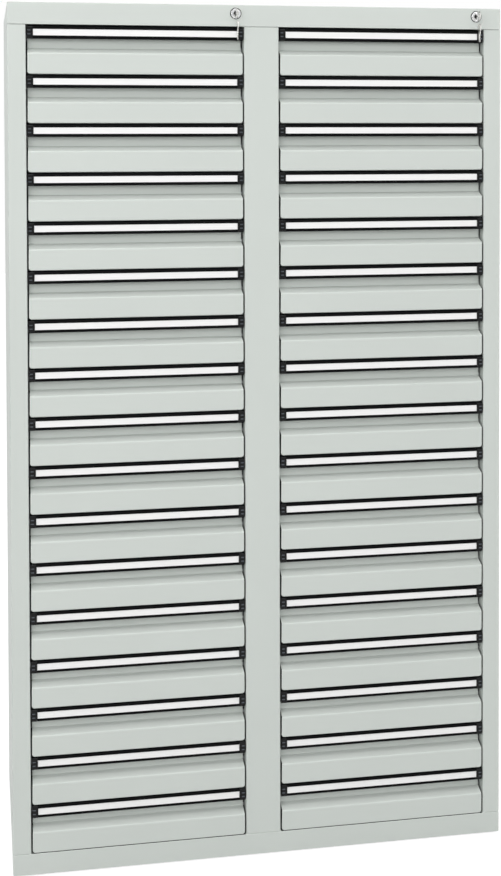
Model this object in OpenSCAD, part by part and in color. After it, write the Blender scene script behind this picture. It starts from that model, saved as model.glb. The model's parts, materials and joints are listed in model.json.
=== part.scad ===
// Two-column parts cabinet: a welded sheet-steel case, drawers on side runners and a lock for each column.
// X runs across the front, Y runs into the cabinet, Z runs up. Z = 0 is the floor.

/* [Case] */
// Overall width
cabinet_w = 1050; // [850:1:1400]
// Depth of the case from its front frame to its back edge
cabinet_d = 500; // [380:1:700]
// Overall height from the floor
cabinet_h = 1800; // [1200:1:2200]
// Thickness of the case sheets
sheet = 1.2; // [0.8:0.1:2]
// Face width of each side post
side_post_w = 37; // [32:0.5:60]
// Face width of the centre post
centre_post_w = 74; // [60:1:120]
// Height of the front skirt of the top cover
top_rail_h = 45; // [44:0.5:80]
// Height from the floor to the deck of the base
bottom_rail_h = 47; // [35:0.5:90]
// How far the frame faces fold back into the case
frame_return = 25; // [23:0.5:32]
// How far the back panel sits inside the back edge
back_inset = 2; // [1.5:0.1:6]

/* [Drawers] */
// Drawers in each column
drawer_count = 17; // [8:1:17]
// Open seam above each drawer front
drawer_gap = 3; // [2:0.1:5]
// Open seam under the lowest drawer front
sill_gap = 2; // [1.5:0.1:5]
// Gap between a drawer front and the post beside it
front_side_gap = 3; // [2:0.1:5]
// Corner radius of a drawer front
front_corner_r = 4.5; // [2:0.5:10]
// Height of the upper, set-back part of a drawer front
recess_h = 19.6; // [14:0.1:26]
// How deep the upper part is set back
recess_depth = 22; // [18:0.5:22]
// Height of the sloping part of a drawer front
slope_h = 11; // [6:0.5:16]
// Thickness of the drawer sheets
drawer_sheet = 1; // [0.8:0.1:1.5]
// How far the rim of the tray stays below the top edge of the front
tray_drop = 9; // [6:0.5:30]
// Height of the tray floor above the lower edge of the front
tray_lift = 2; // [1:0.5:4]
// Space between the tray and the back panel
tray_back_gap = 28; // [12:1:80]

/* [Grip and label] */
// Height of the grip strip
grip_h = 26; // [24:0.5:30]
// Wall thickness of the grip strip
grip_wall = 2.4; // [1.8:0.1:3]
// Radius of the grip strip's long edges
grip_r = 9; // [7:0.5:10]
// Height of the label window
label_h = 14.5; // [10:0.5:16]
// Height of the lip above the label window
label_top_lip = 4.5; // [4:0.25:6]
// Thickness of the label card
label_t = 0.6; // [0.3:0.1:1]
// Depth of the label window
label_window_depth = 1.8; // [1.4:0.1:2]
// Length of each end cap of the grip strip
cap_l = 10; // [6:0.5:16]
// How far an end cap stands out in front of the grip strip
cap_proud = 0.8; // [0.3:0.1:1]

/* [Runners] */
// Width of the glide strip on each side of a tray
glide_w = 7.6; // [5:0.1:10]
// Height of the glide strip
glide_h = 9; // [6:0.5:12]
// How far the glide strip stays below the rim of the tray
glide_drop = 9; // [8:0.5:14]
// Sliding clearance round a glide strip
glide_clear = 0.3; // [0.2:0.05:0.6]
// Gap between a glide strip and the post edge it passes
glide_post_gap = 1.9; // [1:0.1:4]
// Space between the guides of the locking bar and the front end of a runner
runner_gap = 2.4; // [1:0.1:20]
// Space between the back end of a runner and the back panel
runner_back_gap = 26; // [10:1:60]
// Width of a runner carrier along Y
carrier_w = 30; // [20:1:50]

/* [Locks] */
// Distance of the lock axis from the right edge of its column
lock_side = 17.5; // [15:0.5:30]
// Distance of the lock axis below the top of the case
lock_drop = 18; // [17:0.5:24]
// Radius of the lock's front flange
rosette_r = 12; // [11:0.5:14]
// Radius of the lock barrel
barrel_r = 9; // [8.5:0.5:10]
// Radius of the turning plug
plug_r = 6; // [5:0.5:6.5]
// Radial running clearance of the plug
plug_clear = 0.08; // [0.05:0.01:0.1]
// Distance from the lock axis to the drive pin of the cam
cam_r = 12; // [9:0.1:14.5]
// Radius of the drive pin
cam_pin_r = 2.5; // [1.5:0.1:3]
// Turn of the key from unlocked to locked, in degrees
key_turn = 90; // [60:5:90]
// Clearance of the drive pin in its slot
slot_clear = 0.6; // [0.5:0.05:1]
// Radius of the head of the screw that holds the cam
cam_screw_r = 2.8; // [2:0.1:3]

/* [Keys] */
// Thickness of a key
key_t = 2; // [1.5:0.1:2.5]
// Width of a key blade
key_blade_w = 7; // [5:0.5:8]
// Space between the tip of the key and the cam screw
key_tip_gap = 1.5; // [0.5:0.1:6]
// Radius of the round bow of the key in the lock
bow_r = 11; // [9:0.5:13]
// Radius of the round bow of the hanging key
spare_bow_r = 9.5; // [8:0.5:12]
// Radius of the hole in a bow
bow_hole_r = 2.5; // [2:0.1:3]
// Distance from the rim of a bow to its hole
bow_hole_rim = 3; // [2:0.5:5]
// Radius of the key ring at the middle of its wire
ring_r = 9; // [7:0.5:12]
// Radius of the key ring wire
ring_wire_r = 0.6; // [0.5:0.1:1]
// Length of the hanging key's blade
spare_blade_l = 16; // [12:0.5:28]
// Play between the ring and the hole that it hangs in
ring_clear = 0.3; // [0.2:0.05:0.6]

/* [Locking bars] */
// Width of a locking bar along Y
bar_w = 12; // [8:0.5:15]
// Thickness of a locking bar
bar_t = 2; // [1.5:0.1:3]
// Gap between the front frame's return and a locking bar
bar_gap = 1; // [0.6:0.1:3]
// Height of the catch on a drawer and of the finger that holds it
catch_h = 8; // [5:0.5:10]
// Height of the catch above the lower edge of the front
catch_lift = 30; // [26:0.5:32]
// Thickness of a catch and of a finger along Y
catch_t = 4; // [2:0.5:5]
// Play between a locked finger and its catch
catch_play = 1.5; // [0.5:0.1:3]
// Running clearance of a bar in its guides
guide_clear = 0.4; // [0.3:0.05:0.8]

/* [Feet] */
// Gap between the floor and the lower edge of the skirts
foot_gap = 3; // [2:0.5:12]
// Radius of a foot pad
foot_r = 20; // [15:0.5:28]
// Height of a foot pad
foot_pad_h = 10; // [6:0.5:16]
// Radius of a foot stem
foot_stem_r = 5; // [4:0.5:8]
// Distance of the feet from the case edges
foot_edge = 45; // [30:1:90]

/* [Hidden] */
$fn = 64;
// Names of the sub-parts
columns = ["left", "right"];
function two_digits(n) = n < 10 ? str("0", n) : str(n);
function drawer_name(c, i) = str("drawer_", columns[c], "_", two_digits(i + 1));
case_names = [
    "top_cover", "base_tray", "left_side_panel", "right_side_panel", "back_panel", "centre_post",
    "centre_partition", "runner_carriers", "drawer_stops", "back_rivets", "feet", "bar_guides"
];
column_names = [
    "runners", "lock_barrel", "lock_plug", "key", "key_ring", "spare_key", "locking_bar"
];

// Finishes
paint = [0.83, 0.85, 0.83];
zinc = [0.68, 0.70, 0.71];
chrome = [0.80, 0.80, 0.82];
nickel = [0.76, 0.75, 0.72];
aluminium = [0.75, 0.76, 0.76];
black_plastic = [0.07, 0.07, 0.07];
nylon = [0.92, 0.92, 0.88];
card = [1, 1, 1];

// Small overlap that lets a cut pass cleanly through a face
cut = 1;
// Space between two sheets that are pressed together round a bend
seam = 0.2;
// Space left where two pieces of one assembly are fixed to each other
fixed_gap = 0.1;

// Where the front frame stands, so that the case with its keys is centred on Y = 0
key_shoulder = 3;
key_neck_l = 5;
key_neck_w = key_blade_w + 2;
bow_overlap = 2;
bow_y = -key_shoulder - key_neck_l - bow_r + bow_overlap;
bow_hole_y = bow_y - bow_r + bow_hole_rim + bow_hole_r;
front_reach = spare_bow_r - bow_hole_y;
front_y = (front_reach - cabinet_d) / 2;

// How far the ring's wire sits below the middle of the hole that it hangs in
ring_drop = bow_hole_r - ring_wire_r - ring_clear;

// Columns
opening_w = (cabinet_w - 2 * side_post_w - centre_post_w) / 2;
opening_top = cabinet_h - top_rail_h;
opening_h = opening_top - bottom_rail_h;
column_x = (centre_post_w + opening_w) / 2;
function column_centre(c) = c == 0 ? -column_x : column_x;
pitch = (opening_h - sill_gap) / drawer_count;
front_w = opening_w - 2 * front_side_gap;
front_h = pitch - drawer_gap;
function drawer_z(i) = opening_top - (i + 1) * pitch;

// Drawer front, measured up from its lower edge and back from its face
grip_z = front_h - grip_h;
recess_z = grip_z - recess_h;
flat_h = recess_z - slope_h;
wall_top = front_h - grip_wall - seam;
slope = slope_h / recess_depth;
slope_inset = drawer_sheet * sqrt(1 + slope * slope);
tray_y = recess_depth + drawer_sheet;
tray_l = cabinet_d - back_inset - 2 * sheet - tray_y - tray_back_gap;
tray_h = front_h - tray_drop - tray_lift;
tray_half = opening_w / 2 - glide_w - glide_post_gap;

// Runners, measured out from the middle of a column
frame_to_bar = frame_return + bar_gap;
runner_start = frame_to_bar + bar_w + guide_clear + sheet + runner_gap;
glide_inset = 3;
glide_y0 = runner_start + glide_inset;
glide_y1 = tray_y + tray_l - glide_inset;
glide_lift = front_h - tray_drop - glide_drop - glide_h;
runner_l = cabinet_d - back_inset - 2 * sheet - runner_start - runner_back_gap;
runner_lip_gap = 1;
runner_in = tray_half + runner_lip_gap;
runner_web = tray_half + glide_w + glide_clear;
runner_out = runner_web + sheet;
runner_z0 = glide_lift - glide_clear - sheet;
runner_z1 = glide_lift + glide_h + glide_clear + sheet;
outer_wall = opening_w / 2 + side_post_w - sheet;
inner_wall = opening_w / 2 + centre_post_w / 2 - sheet / 2;
carrier_inset = 18;
carrier_front_y = runner_start + carrier_inset;
carrier_back_y = runner_start + runner_l - carrier_inset - carrier_w;

// Drawer stops: a lug at the back of each tray and a tab on the front carrier, which sets the travel
lug_l = 8;
lug_h = 5;
lug_w = 6;
lug_y = glide_y1 - lug_l;
lug_gap = 0.8;
lug_lift = runner_z1 + lug_gap;
stop_t = 3;
stop_y = carrier_front_y + carrier_w - stop_t;

// Nut behind the lock's front flange
nut_r = 13;
nut_t = 4;

// Locks and locking bars, measured from the middle of a column and back from the front frame
lock_x = opening_w / 2 - lock_side;
lock_z = cabinet_h - lock_drop;
barrel_inset = 1;
barrel_l = frame_return - barrel_inset;
rosette_t = 2;
plug_proud = 0.6;
cam_t = 2;
cam_gap = 0.5;
cam_y = barrel_l + cam_gap;
cam_turn = key_turn / 2;
pin_z = cam_r * sin(cam_turn);
bar_travel = 2 * pin_z;
bar_side_gap = 1.3;
bar_x = opening_w / 2 + sheet + bar_side_gap;
bar_y = frame_to_bar;
head_rim = 3;
head_side = 2;
bar_top = lock_z + pin_z + cam_pin_r + slot_clear + head_rim;
bar_floor_gap = 3;
bar_bottom = bottom_rail_h + bar_travel + bar_floor_gap;
screw_r = 1.5;
screw_l = 5;
screw_head_h = 1.6;
key_tip = cam_y - screw_l - key_tip_gap;
head_gap = 0.9;
head_y = cam_y + cam_t + head_gap;
head_t = 2;
pin_proud = 1.5;
pin_rim = 1.5;
finger_inset = 1;
finger_y = bar_y + finger_inset;
finger_gap = 1.5;
finger_in = tray_half + finger_gap;
catch_y = finger_y + catch_t + catch_play;
catch_w = glide_w;
finger_lift = catch_lift + bar_travel;
guide_h = 12;
guide_drop = 12;
guide_lift = front_h - guide_drop - guide_h;
guide_wall = 0.6;
guide_weld = 12;

// Feet, flanges and rivets
deck_z = bottom_rail_h - sheet;
side_flange = 20;
rivet_count = 7;
rivet_r = 4;
rivet_h = 1.2;
rivet_end = 60;

module place_column(c) {
    translate([column_centre(c), front_y, 0])
        children();
}

// A prism along X whose outline is given as points [back from the front, up]
module along_x(x0, x1) {
    translate([x0, 0, 0])
        rotate([90, 0, 90])
            linear_extrude(x1 - x0)
                children();
}

// A box given by its two opposite corners
module block(low, high) {
    translate(low)
        cube(high - low);
}

// A round bar along Y
module rod(r, y0, y1) {
    translate([0, y0, 0])
        rotate([-90, 0, 0])
            cylinder(r = r, h = y1 - y0);
}

// ---- Case ----

// A flat sheet with skirts folded down all round
module skirted_sheet(z0, z1) {
    half = cabinet_w / 2;
    difference() {
        block([-half, front_y, z0], [half, front_y + cabinet_d, z1]);
        block(
            [-half + sheet, front_y + sheet, z0 - cut],
            [half - sheet, front_y + cabinet_d - sheet, z1 - sheet]
        );
    }
}

// The return that stiffens the lower edge of the top cover's front skirt
module top_return() {
    half = cabinet_w / 2 - sheet;
    block(
        [-half, front_y + sheet, opening_top],
        [half, front_y + frame_return, opening_top + sheet]
    );
}

module top_cover() {
    color(paint)
        difference() {
            union() {
                skirted_sheet(opening_top, cabinet_h);
                top_return();
            }
            for (c = [0:1])
                place_column(c)
                    translate([lock_x, 0, lock_z])
                        rod(barrel_r + fixed_gap, -cut, sheet + cut);
        }
}

module base_tray() {
    color(paint)
        skirted_sheet(foot_gap, bottom_rail_h);
}

// Plan outline of a side panel: side sheet, front post, post return and back flange
module side_panel(side) {
    half = cabinet_w / 2;
    back = cabinet_d - back_inset - sheet;
    mirror([side < 0 ? 1 : 0, 0, 0])
        translate([0, front_y, bottom_rail_h])
            linear_extrude(opening_h)
                union() {
                    translate([half - sheet, 0])
                        square([sheet, cabinet_d]);
                    translate([half - side_post_w, 0])
                        square([side_post_w, sheet]);
                    translate([half - side_post_w, 0])
                        square([sheet, frame_return]);
                    translate([half - side_flange, back - sheet])
                        square([side_flange, sheet]);
                }
}

module left_side_panel() {
    color(paint)
        side_panel(-1);
}

module right_side_panel() {
    color(paint)
        side_panel(1);
}

module centre_post() {
    half = centre_post_w / 2;
    color(paint)
        translate([0, front_y, bottom_rail_h])
            linear_extrude(opening_h)
                union() {
                    translate([-half, 0])
                        square([centre_post_w, sheet]);
                    for (x = [-half, half - sheet])
                        translate([x, 0])
                            square([sheet, frame_return]);
                }
}

// A single sheet between the columns with a flange for the back panel
module centre_partition() {
    back = cabinet_d - back_inset - sheet;
    color(paint)
        translate([0, front_y, bottom_rail_h])
            linear_extrude(opening_h)
                union() {
                    translate([-sheet / 2, sheet])
                        square([sheet, back - sheet]);
                    translate([-sheet / 2, back - sheet])
                        square([side_flange, sheet]);
                }
}

module back_panel() {
    half = cabinet_w / 2 - sheet - seam;
    y1 = front_y + cabinet_d - back_inset;
    color(paint)
        block([-half, y1 - sheet, bottom_rail_h + seam], [half, y1, opening_top - seam]);
}

module back_rivets() {
    y0 = front_y + cabinet_d - back_inset;
    edge = cabinet_w / 2 - side_flange / 2 - sheet / 2;
    first = bottom_rail_h + rivet_end;
    step = (opening_h - 2 * rivet_end) / (rivet_count - 1);
    color(aluminium)
        for (x = [-edge, side_flange / 2, edge])
            for (i = [0:rivet_count - 1])
                translate([x, y0, first + i * step])
                    rod(rivet_r, 0, rivet_h);
}

module foot(x, y) {
    translate([x, y, 0]) {
        cylinder(r = foot_r, h = foot_pad_h);
        translate([0, 0, foot_pad_h])
            cylinder(r = foot_stem_r, h = deck_z - foot_pad_h);
    }
}

module feet() {
    x1 = cabinet_w / 2 - foot_edge;
    y1 = cabinet_d / 2 - foot_edge;
    middle_y = front_y + cabinet_d / 2;
    color(black_plastic)
        for (x = [-x1, 0, x1])
            for (y = [-y1, y1])
                foot(x, middle_y + y);
}

// ---- Runners ----

// One C-shaped runner on the +X side of a column, with its open side facing the drawer
module runner(z) {
    translate([0, runner_start, z])
        rotate([-90, 0, 0])
            linear_extrude(runner_l)
                difference() {
                    translate([runner_in, -runner_z1])
                        square([runner_out - runner_in, runner_z1 - runner_z0]);
                    translate([runner_in - cut, -runner_z1 + sheet])
                        square([runner_web - runner_in + cut, runner_z1 - runner_z0 - 2 * sheet]);
                }
}

module runner_row(c, side) {
    place_column(c)
        mirror([side < 0 ? 1 : 0, 0, 0])
            for (i = [0:drawer_count - 1])
                runner(drawer_z(i));
}

module runners(c) {
    color(zinc)
        for (side = [-1, 1])
            runner_row(c, side);
}

// The tab on each side that the lug of a pulled-out drawer meets
module drawer_stops() {
    color(zinc)
        for (c = [0:1])
            place_column(c)
                for (side = [-1, 1])
                    mirror([side < 0 ? 1 : 0, 0, 0])
                        for (i = [0:drawer_count - 1])
                            translate([0, 0, drawer_z(i) + lug_lift])
                                block([runner_in, stop_y, 0], [runner_out, stop_y + stop_t, lug_h]);
}

// One upright U-channel that carries the runners of one side
module carrier(y, wall) {
    translate([0, y, bottom_rail_h])
        linear_extrude(opening_h)
            difference() {
                translate([runner_out, 0])
                    square([wall - runner_out, carrier_w]);
                translate([runner_out + sheet, sheet])
                    square([wall - runner_out, carrier_w - 2 * sheet]);
            }
}

module runner_carriers() {
    color(zinc)
        for (c = [0:1])
            place_column(c)
                for (side = [-1, 1])
                    mirror([side < 0 ? 1 : 0, 0, 0])
                        for (y = [carrier_front_y, carrier_back_y])
                            carrier(y, (c == 0) == (side < 0) ? outer_wall : inner_wall);
}

// ---- Drawers ----

// The folded front: flat lower face, slope, set-back upper wall and closed ends
module drawer_front_shell() {
    difference() {
        along_x(-front_w / 2, front_w / 2)
            polygon([
                [0, 0],
                [tray_y, 0],
                [tray_y, wall_top],
                [recess_depth, wall_top],
                [recess_depth, recess_z],
                [0, flat_h]
            ]);
        along_x(-front_w / 2 + drawer_sheet, front_w / 2 - drawer_sheet)
            polygon([
                [drawer_sheet, drawer_sheet],
                [tray_y + cut, drawer_sheet],
                [tray_y + cut, recess_z - slope_inset],
                [recess_depth, recess_z - slope_inset],
                [drawer_sheet, flat_h + slope * drawer_sheet - slope_inset]
            ]);
    }
}

// A block with its two lower corners rounded, which trims the front
module rounded_trim() {
    r = front_corner_r;
    w = front_w / 2;
    translate([0, tray_y + cut, 0])
        rotate([90, 0, 0])
            linear_extrude(tray_y + 2 * cut)
                union() {
                    translate([-w, r])
                        square([2 * w, front_h]);
                    translate([-w + r, 0])
                        square([2 * (w - r), r + cut]);
                    for (x = [-w + r, w - r])
                        translate([x, r])
                            circle(r);
                }
}

module drawer_front() {
    color(paint)
        intersection() {
            drawer_front_shell();
            rounded_trim();
        }
}

module drawer_tray() {
    y0 = tray_y + fixed_gap;
    y1 = tray_y + tray_l;
    color(paint)
        difference() {
            block([-tray_half, y0, tray_lift], [tray_half, y1, tray_lift + tray_h]);
            block(
                [-tray_half + drawer_sheet, y0 + drawer_sheet, tray_lift + drawer_sheet],
                [tray_half - drawer_sheet, y1 - drawer_sheet, tray_lift + tray_h + cut]
            );
        }
}

// Side outline of the grip: a rounded face and a top that reaches back over the upper wall
module grip_outline(r, out, depth) {
    union() {
        translate([r - out, grip_z])
            square([depth - r + out, grip_h]);
        translate([-out, grip_z + r])
            square([r + out, grip_h - 2 * r]);
        for (z = [grip_z + r, front_h - r])
            translate([r - out, z])
                circle(r);
    }
}

module grip_strip() {
    x1 = front_w / 2 - cap_l;
    w = grip_wall;
    color(black_plastic)
        difference() {
            along_x(-x1, x1)
                difference() {
                    grip_outline(grip_r, 0, recess_depth - fixed_gap);
                    translate([grip_r, grip_z + w])
                        square([recess_depth - grip_r + cut, grip_h - 2 * w]);
                    translate([w + label_window_depth, grip_z + grip_r])
                        square([grip_r, grip_h - 2 * grip_r]);
                    for (z = [grip_z + grip_r, front_h - grip_r])
                        translate([grip_r, z])
                            circle(grip_r - w - label_window_depth);
                    translate([grip_r + w, grip_z - cut])
                        square([recess_depth, grip_h - w]);
                }
            block(
                [-x1 - cut, -cut, front_h - label_top_lip - label_h],
                [x1 + cut, label_window_depth, front_h - label_top_lip]
            );
        }
}

module label_card() {
    x1 = front_w / 2 - cap_l - 2 * fixed_gap;
    y1 = label_window_depth - fixed_gap;
    z1 = front_h - label_top_lip - fixed_gap;
    color(card)
        block([-x1, y1 - label_t, z1 - label_h + 2 * fixed_gap], [x1, y1, z1]);
}

module end_cap(side) {
    x1 = front_w / 2;
    color(black_plastic)
        mirror([side < 0 ? 1 : 0, 0, 0])
            along_x(x1 - cap_l + fixed_gap, x1)
                grip_outline(grip_r, cap_proud, recess_depth - fixed_gap);
}

module glide_strip(side) {
    color(nylon)
        mirror([side < 0 ? 1 : 0, 0, 0])
            block(
                [tray_half + fixed_gap, glide_y0, glide_lift],
                [tray_half + glide_w, glide_y1, glide_lift + glide_h]
            );
}

// The lug behind the glide strip that keeps a drawer from coming out
module stop_lug(side) {
    color(zinc)
        mirror([side < 0 ? 1 : 0, 0, 0])
            block(
                [tray_half + fixed_gap, lug_y, lug_lift],
                [tray_half + lug_w, lug_y + lug_l, lug_lift + lug_h]
            );
}

// The catch that a finger of the locking bar holds, on the right side of the tray
module lock_catch() {
    color(zinc)
        block(
            [tray_half + fixed_gap, catch_y, catch_lift],
            [tray_half + catch_w, catch_y + catch_t, catch_lift + catch_h]
        );
}

module drawer(c, i) {
    place_column(c)
        translate([0, 0, drawer_z(i)]) {
            drawer_front();
            drawer_tray();
            grip_strip();
            label_card();
            lock_catch();
            for (side = [-1, 1]) {
                end_cap(side);
                glide_strip(side);
                stop_lug(side);
            }
        }
}

// ---- Locks, keys and locking bars ----

module place_lock(c) {
    place_column(c)
        translate([lock_x, 0, lock_z])
            children();
}

module lock_barrel(c) {
    bore = plug_r + plug_clear;
    color(chrome)
        place_lock(c) {
            difference() {
                union() {
                    rod(rosette_r, -rosette_t, 0);
                    rod(barrel_r, 0, barrel_l);
                }
                rod(bore, -rosette_t - cut, barrel_l + cut);
            }
            difference() {
                translate([0, sheet, 0])
                    rotate([-90, 0, 0])
                        cylinder(r = nut_r, h = nut_t, $fn = 6);
                rod(barrel_r + fixed_gap, 0, sheet + nut_t + cut);
            }
        }
}

// The plug with its keyway, the cam on its back end and the screw that holds the cam
module lock_plug(c) {
    color(chrome)
        place_lock(c) {
            difference() {
                rod(plug_r, -rosette_t - plug_proud, cam_y - fixed_gap);
                block(
                    [-key_t / 2 - fixed_gap, -rosette_t - cut, -key_blade_w / 2 - fixed_gap],
                    [
                        key_t / 2 + fixed_gap, key_tip + key_tip_gap / 3,
                        key_blade_w / 2 + fixed_gap
                    ]
                );
                rod(screw_r + fixed_gap, cam_y - screw_l - cut, cam_y + cut);
            }
            cam();
            rod(screw_r, cam_y - screw_l, cam_y + cam_t + fixed_gap + cut / 2);
            rod(cam_screw_r, cam_y + cam_t + fixed_gap, cam_y + cam_t + screw_head_h);
        }
}

// The cam: a plate with an arm, and the drive pin at the end of the arm
module cam() {
    w = cam_pin_r + pin_rim;
    rotate([0, -cam_turn, 0]) {
        difference() {
            union() {
                rod(plug_r + pin_rim, cam_y, cam_y + cam_t);
                block([0, cam_y, -w], [cam_r, cam_y + cam_t, w]);
                translate([cam_r, 0, 0])
                    rod(w, cam_y, cam_y + cam_t);
            }
            rod(screw_r + fixed_gap, cam_y - cut, cam_y + cam_t + cut);
            translate([cam_r, 0, 0])
                rod(cam_pin_r + fixed_gap, cam_y - cut, cam_y + cam_t + cut);
        }
        translate([cam_r, 0, 0])
            rod(cam_pin_r, cam_y, head_y + head_t + pin_proud);
    }
}

// A flat key in the plane X = 0, drawn from points [back from the front, up]
module key_plate() {
    rotate([90, 0, 90])
        translate([0, 0, -key_t / 2])
            linear_extrude(key_t)
                children();
}

module key(c) {
    color(nickel)
        place_lock(c)
            key_plate()
                difference() {
                    union() {
                        translate([-key_shoulder, -key_blade_w / 2])
                            square([key_shoulder + key_tip, key_blade_w]);
                        translate([-key_shoulder - key_neck_l, -key_neck_w / 2])
                            square([key_neck_l, key_neck_w]);
                        translate([bow_y, 0])
                            circle(bow_r);
                    }
                    translate([bow_hole_y, 0])
                        circle(bow_hole_r);
                }
}

// The ring hangs in the hole of the bow
module key_ring(c) {
    color(nickel)
        place_lock(c)
            translate([0, bow_hole_y, -ring_drop - ring_r])
                rotate([90, 0, 0])
                    rotate_extrude()
                        translate([ring_r, 0])
                            circle(ring_wire_r);
}

// The second key hangs from the ring
module spare_key(c) {
    hole_z = -2 * ring_drop - 2 * ring_r;
    bow_z = hole_z + bow_hole_r + bow_hole_rim - spare_bow_r;
    blade_top = bow_z - spare_bow_r + bow_overlap;
    neck_l = key_neck_l + bow_overlap;
    color(nickel)
        place_lock(c)
            translate([0, bow_hole_y, 0])
                key_plate()
                    difference() {
                        union() {
                            translate([0, bow_z])
                                circle(spare_bow_r);
                            translate([-key_neck_w / 2, blade_top - neck_l])
                                square([key_neck_w, neck_l]);
                            translate([-key_blade_w / 2, blade_top - neck_l - spare_blade_l])
                                square([key_blade_w, neck_l + spare_blade_l]);
                        }
                        translate([0, hole_z])
                            circle(bow_hole_r);
                    }
}

// The slotted head plate that the cam's drive pin moves up and down
module bar_head() {
    slot_half = cam_pin_r + slot_clear;
    slot_in = lock_x + cam_r * cos(cam_turn) - slot_half;
    slot_out = lock_x + cam_r + slot_half;
    difference() {
        block(
            [slot_in - head_side, head_y, lock_z + pin_z - slot_half - head_rim],
            [bar_x - fixed_gap, head_y + head_t, bar_top]
        );
        block(
            [slot_in, head_y - cut, lock_z + pin_z - slot_half],
            [slot_out, head_y + head_t + cut, lock_z + pin_z + slot_half]
        );
    }
}

// The long strip with its head and one finger for each drawer
module locking_bar(c) {
    color(zinc)
        place_column(c) {
            block([bar_x, bar_y, bar_bottom], [bar_x + bar_t, bar_y + bar_w, bar_top]);
            bar_head();
            for (i = [0:drawer_count - 1])
                translate([0, 0, drawer_z(i)])
                    block(
                        [finger_in, finger_y, finger_lift],
                        [bar_x - fixed_gap, finger_y + catch_t, finger_lift + catch_h]
                    );
        }
}

// A loop round the bar, welded to the outside of the post return
module bar_guide() {
    g = guide_clear;
    in_x = bar_x - g;
    out_x = bar_x + bar_t + g;
    y0 = bar_y - g;
    y1 = bar_y + bar_w + g;
    root = opening_w / 2 + sheet;
    difference() {
        union() {
            block([root, frame_return - guide_weld, 0], [in_x, y1 + sheet, guide_h]);
            block([in_x, y0 - guide_wall, 0], [out_x + sheet, y1 + sheet, guide_h]);
        }
        block([in_x, y0, -cut], [out_x, y1, guide_h + cut]);
    }
}

guided = [for (i = [0:drawer_count - 1]) if (i % 4 == 0) i];

module bar_guides() {
    color(zinc)
        for (c = [0:1])
            place_column(c)
                for (i = guided)
                    translate([0, 0, drawer_z(i) + guide_lift])
                        bar_guide();
}

top_cover();
base_tray();
left_side_panel();
right_side_panel();
back_panel();
centre_post();
centre_partition();
runner_carriers();
drawer_stops();
back_rivets();
feet();
bar_guides();
for (c = [0:1]) {
    runners(c);
    lock_barrel(c);
    lock_plug(c);
    key(c);
    key_ring(c);
    spare_key(c);
    locking_bar(c);
    for (i = [0:drawer_count - 1])
        drawer(c, i);
}
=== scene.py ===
# %% [markdown]
# # A drawer cabinet for small parts
# The cabinet is a welded case of folded sheet steel. Two columns of shallow drawers slide in it,
# each with a black label grip along its top edge, and a cam lock over each column holds all its
# drawers. The engineering model gives every size and place. This lesson gives the same pieces
# their real bends, mouldings and finishes.

import json
import math

import bmesh
import bpy
from mathutils import Matrix, Vector

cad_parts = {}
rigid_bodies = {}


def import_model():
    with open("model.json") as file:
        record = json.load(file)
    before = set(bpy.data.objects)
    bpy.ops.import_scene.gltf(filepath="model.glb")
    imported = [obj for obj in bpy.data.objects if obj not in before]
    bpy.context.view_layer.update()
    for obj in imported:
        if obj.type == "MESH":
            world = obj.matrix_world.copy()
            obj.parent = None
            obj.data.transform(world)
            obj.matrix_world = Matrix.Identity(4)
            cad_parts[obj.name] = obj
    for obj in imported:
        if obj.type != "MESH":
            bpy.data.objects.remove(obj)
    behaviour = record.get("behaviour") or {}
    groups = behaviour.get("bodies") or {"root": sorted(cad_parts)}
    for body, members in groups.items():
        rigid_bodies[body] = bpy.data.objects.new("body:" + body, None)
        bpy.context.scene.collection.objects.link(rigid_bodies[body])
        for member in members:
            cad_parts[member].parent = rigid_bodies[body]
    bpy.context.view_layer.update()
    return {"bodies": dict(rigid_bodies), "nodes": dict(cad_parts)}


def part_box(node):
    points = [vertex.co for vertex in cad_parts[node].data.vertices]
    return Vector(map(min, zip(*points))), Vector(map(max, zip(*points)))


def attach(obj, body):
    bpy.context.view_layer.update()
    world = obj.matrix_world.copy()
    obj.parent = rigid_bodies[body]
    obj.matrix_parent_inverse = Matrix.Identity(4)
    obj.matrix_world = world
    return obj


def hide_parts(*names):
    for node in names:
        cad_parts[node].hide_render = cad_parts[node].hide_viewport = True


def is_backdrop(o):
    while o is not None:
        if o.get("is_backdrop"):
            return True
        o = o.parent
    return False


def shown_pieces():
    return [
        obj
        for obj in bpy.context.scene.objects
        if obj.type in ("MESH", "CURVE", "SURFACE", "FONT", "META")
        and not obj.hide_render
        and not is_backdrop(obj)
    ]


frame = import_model()
scene = bpy.context.scene
# A key turns by a right angle about Y, where Euler angles lose accuracy, so quaternions turn it
for empty in frame["bodies"].values():
    empty.rotation_mode = "QUATERNION"

# %% [markdown]
# ## Sizes
# All sizes are in millimetres until a mesh is finished, as on a sheet-metal drawing. Places could
# be typed in, but they would drift from the engineering model, so they come from the boxes of its
# nodes. Only what a box can't tell, such as a bend radius or the depth of a label window, is
# written down.

# %% Read the main sizes
MM = 1000.0


def box_mm(node):
    low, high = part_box(node)
    return low * MM, high * MM


top_low, top_high = box_mm("top_cover")
post_low, post_high = box_mm("centre_post")
left_low, left_high = box_mm("left_side_panel")

FRONT_Y, BACK_Y = top_low.y, top_high.y
CASE_HALF = top_high.x
OPENING_TOP, DECK_TOP = left_high.z, left_low.z
SIDE_POST = left_high.x - left_low.x
POST_HALF = post_high.x
OPENING = CASE_HALF - SIDE_POST - POST_HALF
COLUMN_X = {"left": -(POST_HALF + OPENING / 2), "right": POST_HALF + OPENING / 2}
DRAWERS = sum(name.startswith("drawer_left_") for name in frame["nodes"])
SHEET = 1.2
print("case", round(2 * CASE_HALF), "x", round(BACK_Y - FRONT_Y), "x", round(top_high.z), "mm")
print("drawers in a column", DRAWERS, "in an opening", round(OPENING, 1), "mm wide")

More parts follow.
